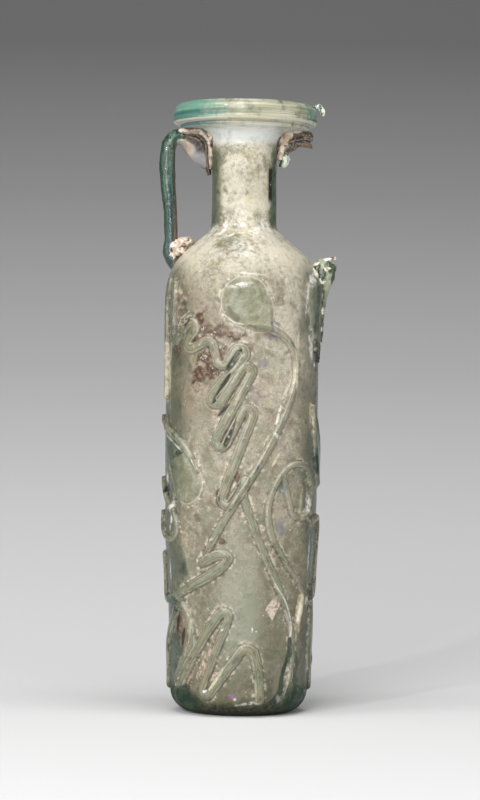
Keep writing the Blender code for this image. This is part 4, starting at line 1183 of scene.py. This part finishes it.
def stub_glass():
    """The broken handle's lower root: dark green glass with whitish crust on its edges."""
    paint = Paint("stub_glass")
    fine, patch = paint.noise(0.9, 5, seed=6.0), paint.noise(3.4, 5, stretch=(0.8, 0.8, 1.6), seed=18.0)
    height = paint.axis("Z")
    pale = paint.mix(height.past(142, 130), STUB_PALE, STUB_MOSS)
    tone = paint.mix(patch.step(0.53, 0.43), pale, STUB_DEEP)
    tone = paint.mix(paint.noise(3.0, 4, seed=19.0).step(0.55, 0.62), tone, CREAM)
    tone = paint.mix(fine.step(0.6, 0.7) * 0.4, tone, RUST)
    tone = paint.mix(height.past(160, 165) * (patch * 0.6 + fine * 0.4).step(0.42, 0.52), tone, STUB_FROST)
    bump = paint.bump(fine + patch, 0.7, 0.4)
    return paint.finish(paint.shader(tone, fine * 0.4 + 0.2, bump, Coat_Weight=0.4, Coat_Roughness=0.1))


def crust(name, pale, dull):
    """White crust and brown soil, crumbly and dull."""
    paint = Paint(name)
    tone = paint.mix(paint.noise(2.0, 4, seed=11.0).step(0.42, 0.6), pale, dull)
    tone = paint.mix(paint.attribute("rough").step(-0.1, -0.6), tone, LUMP_SOIL)
    return paint.finish(paint.shader(tone, 0.7, paint.bump(paint.noise(0.7, 5, seed=6.0), 0.9, 0.35)))


def backdrop():
    """One sweep of floor and backdrop, paler towards the floor and clear from behind."""
    end = SWEEP_START + SWEEP_RADIUS
    bend = np.linspace(0.03, math.pi / 2, SWEEP_ARC_ROWS)
    rows = [(-SWEEP_FRONT, 0), (SWEEP_START, 0)]
    rows += [(SWEEP_START + SWEEP_RADIUS * math.sin(a), SWEEP_RADIUS * (1 - math.cos(a))) for a in bend]
    rows += [(end, SWEEP_HEIGHT)]
    corners = [(side, y, z) for y, z in rows for side in (-SWEEP_HALF_WIDTH, SWEEP_HALF_WIDTH)]
    faces = [(2 * i, 2 * i + 1, 2 * i + 3, 2 * i + 2) for i in range(len(rows) - 1)]
    mesh = bpy.data.meshes.new("sweep")
    mesh.from_pydata(corners, [], faces)
    mesh.shade_smooth()
    paint = Paint("sweep")
    top = SWEEP_TONES[-1][0]
    stops = [(height / top, colour(grey, grey, grey)) for height, grey in SWEEP_TONES]
    paper = paint.shader(paint.ramp(paint.axis("Z") / top, stops), 0.9)
    behind = paint.node("ShaderNodeNewGeometry", output="Backfacing")
    mesh.materials.append(paint.finish(paint.covered(behind, paper, paint.node("ShaderNodeBsdfTransparent"))))
    sweep = bpy.data.objects.new("sweep", mesh)
    bpy.context.scene.collection.objects.link(sweep)


def lamps():
    """Tall soft lights in front and at both sides, one above, a small one for sparks, and a dim room."""
    scene = bpy.context.scene
    scene.world = bpy.data.worlds.new("room")
    scene.world.use_nodes = True
    room = scene.world.node_tree.nodes["Background"]
    room.inputs["Color"].default_value = (0.5, 0.5, 0.5, 1)
    room.inputs["Strength"].default_value = ROOM_STRENGTH
    for name, place, size, power in LAMPS:
        lamp = bpy.data.lights.new(name, "AREA")
        lamp.shape = "RECTANGLE"
        lamp.size, lamp.size_y = size
        lamp.energy = power
        made = bpy.data.objects.new(name, lamp)
        made.location = place
        made.rotation_euler = (Vector(LAMP_AIM) - Vector(place)).to_track_quat("-Z", "Y").to_euler()
        scene.collection.objects.link(made)


def camera():
    made = bpy.data.objects.new("camera", bpy.data.cameras.new("camera"))
    made.data.sensor_fit = "VERTICAL"
    made.data.sensor_height = CAMERA_FILM
    made.data.lens = CAMERA_LENS
    made.location = CAMERA_PLACE
    made.rotation_euler = (math.radians(90), CAMERA_ROLL, 0)
    bpy.context.scene.collection.objects.link(made)
    bpy.context.scene.camera = made


def handles():
    """The whole handle with its folded root at the left, and the broken one's roots at the right."""
    clear, folded, layers, stub = rod_glass(), folded_glass(), dark_layers(), stub_glass()
    soil, white = crust("pinkish_crust", *PINK_CRUST), crust("white_crust", *WHITE_CRUST)
    rod("handle", HANDLE, LEFT, clear, crust=0.12)
    rod("handle_web", WEB, LEFT, folded, lobes=3, groove=0.1, crust=0.16)
    rod("web_crevice", CREVICE, LEFT, layers, lobes=5, groove=0.3, crust=0.4)
    rod("web_crest", CREST, LEFT, soil, crust=0.4)
    rod("upper_root", UPPER_ROOT, RIGHT, layers, lobes=9, groove=0.4, crust=0.35)
    for k, stations in enumerate(SPIKES):
        rod(f"spike_{k}", stations, RIGHT, layers, crust=0.4)
    rod("root_column", COLUMN, RIGHT, soil, crust=0.3)
    rod("upper_tip", UPPER_TIP, RIGHT, stub, crust=0.35)
    rod("lower_root", LOWER_ROOT, RIGHT, stub, lobes=3, groove=0.18, crust=0.3)
    rod("lower_crest", LOWER_CREST, RIGHT, white, crust=0.3)
    rod("rim_chip", CHIP, RIGHT, stub, crust=0.3)
    for k, (side, forward, height, *sizes) in enumerate(LUMPS):
        lump(f"lump_{k}", (side, forward, height), sizes, white if side > WHITE_LUMPS_FROM else soil)


def main():
    outside_of_flask(weathered_glass())
    hollow_of_flask(hollow_glass())
    handles()
    backdrop()
    lamps()
    camera()
    bpy.context.scene.view_settings.view_transform = "Standard"


main()
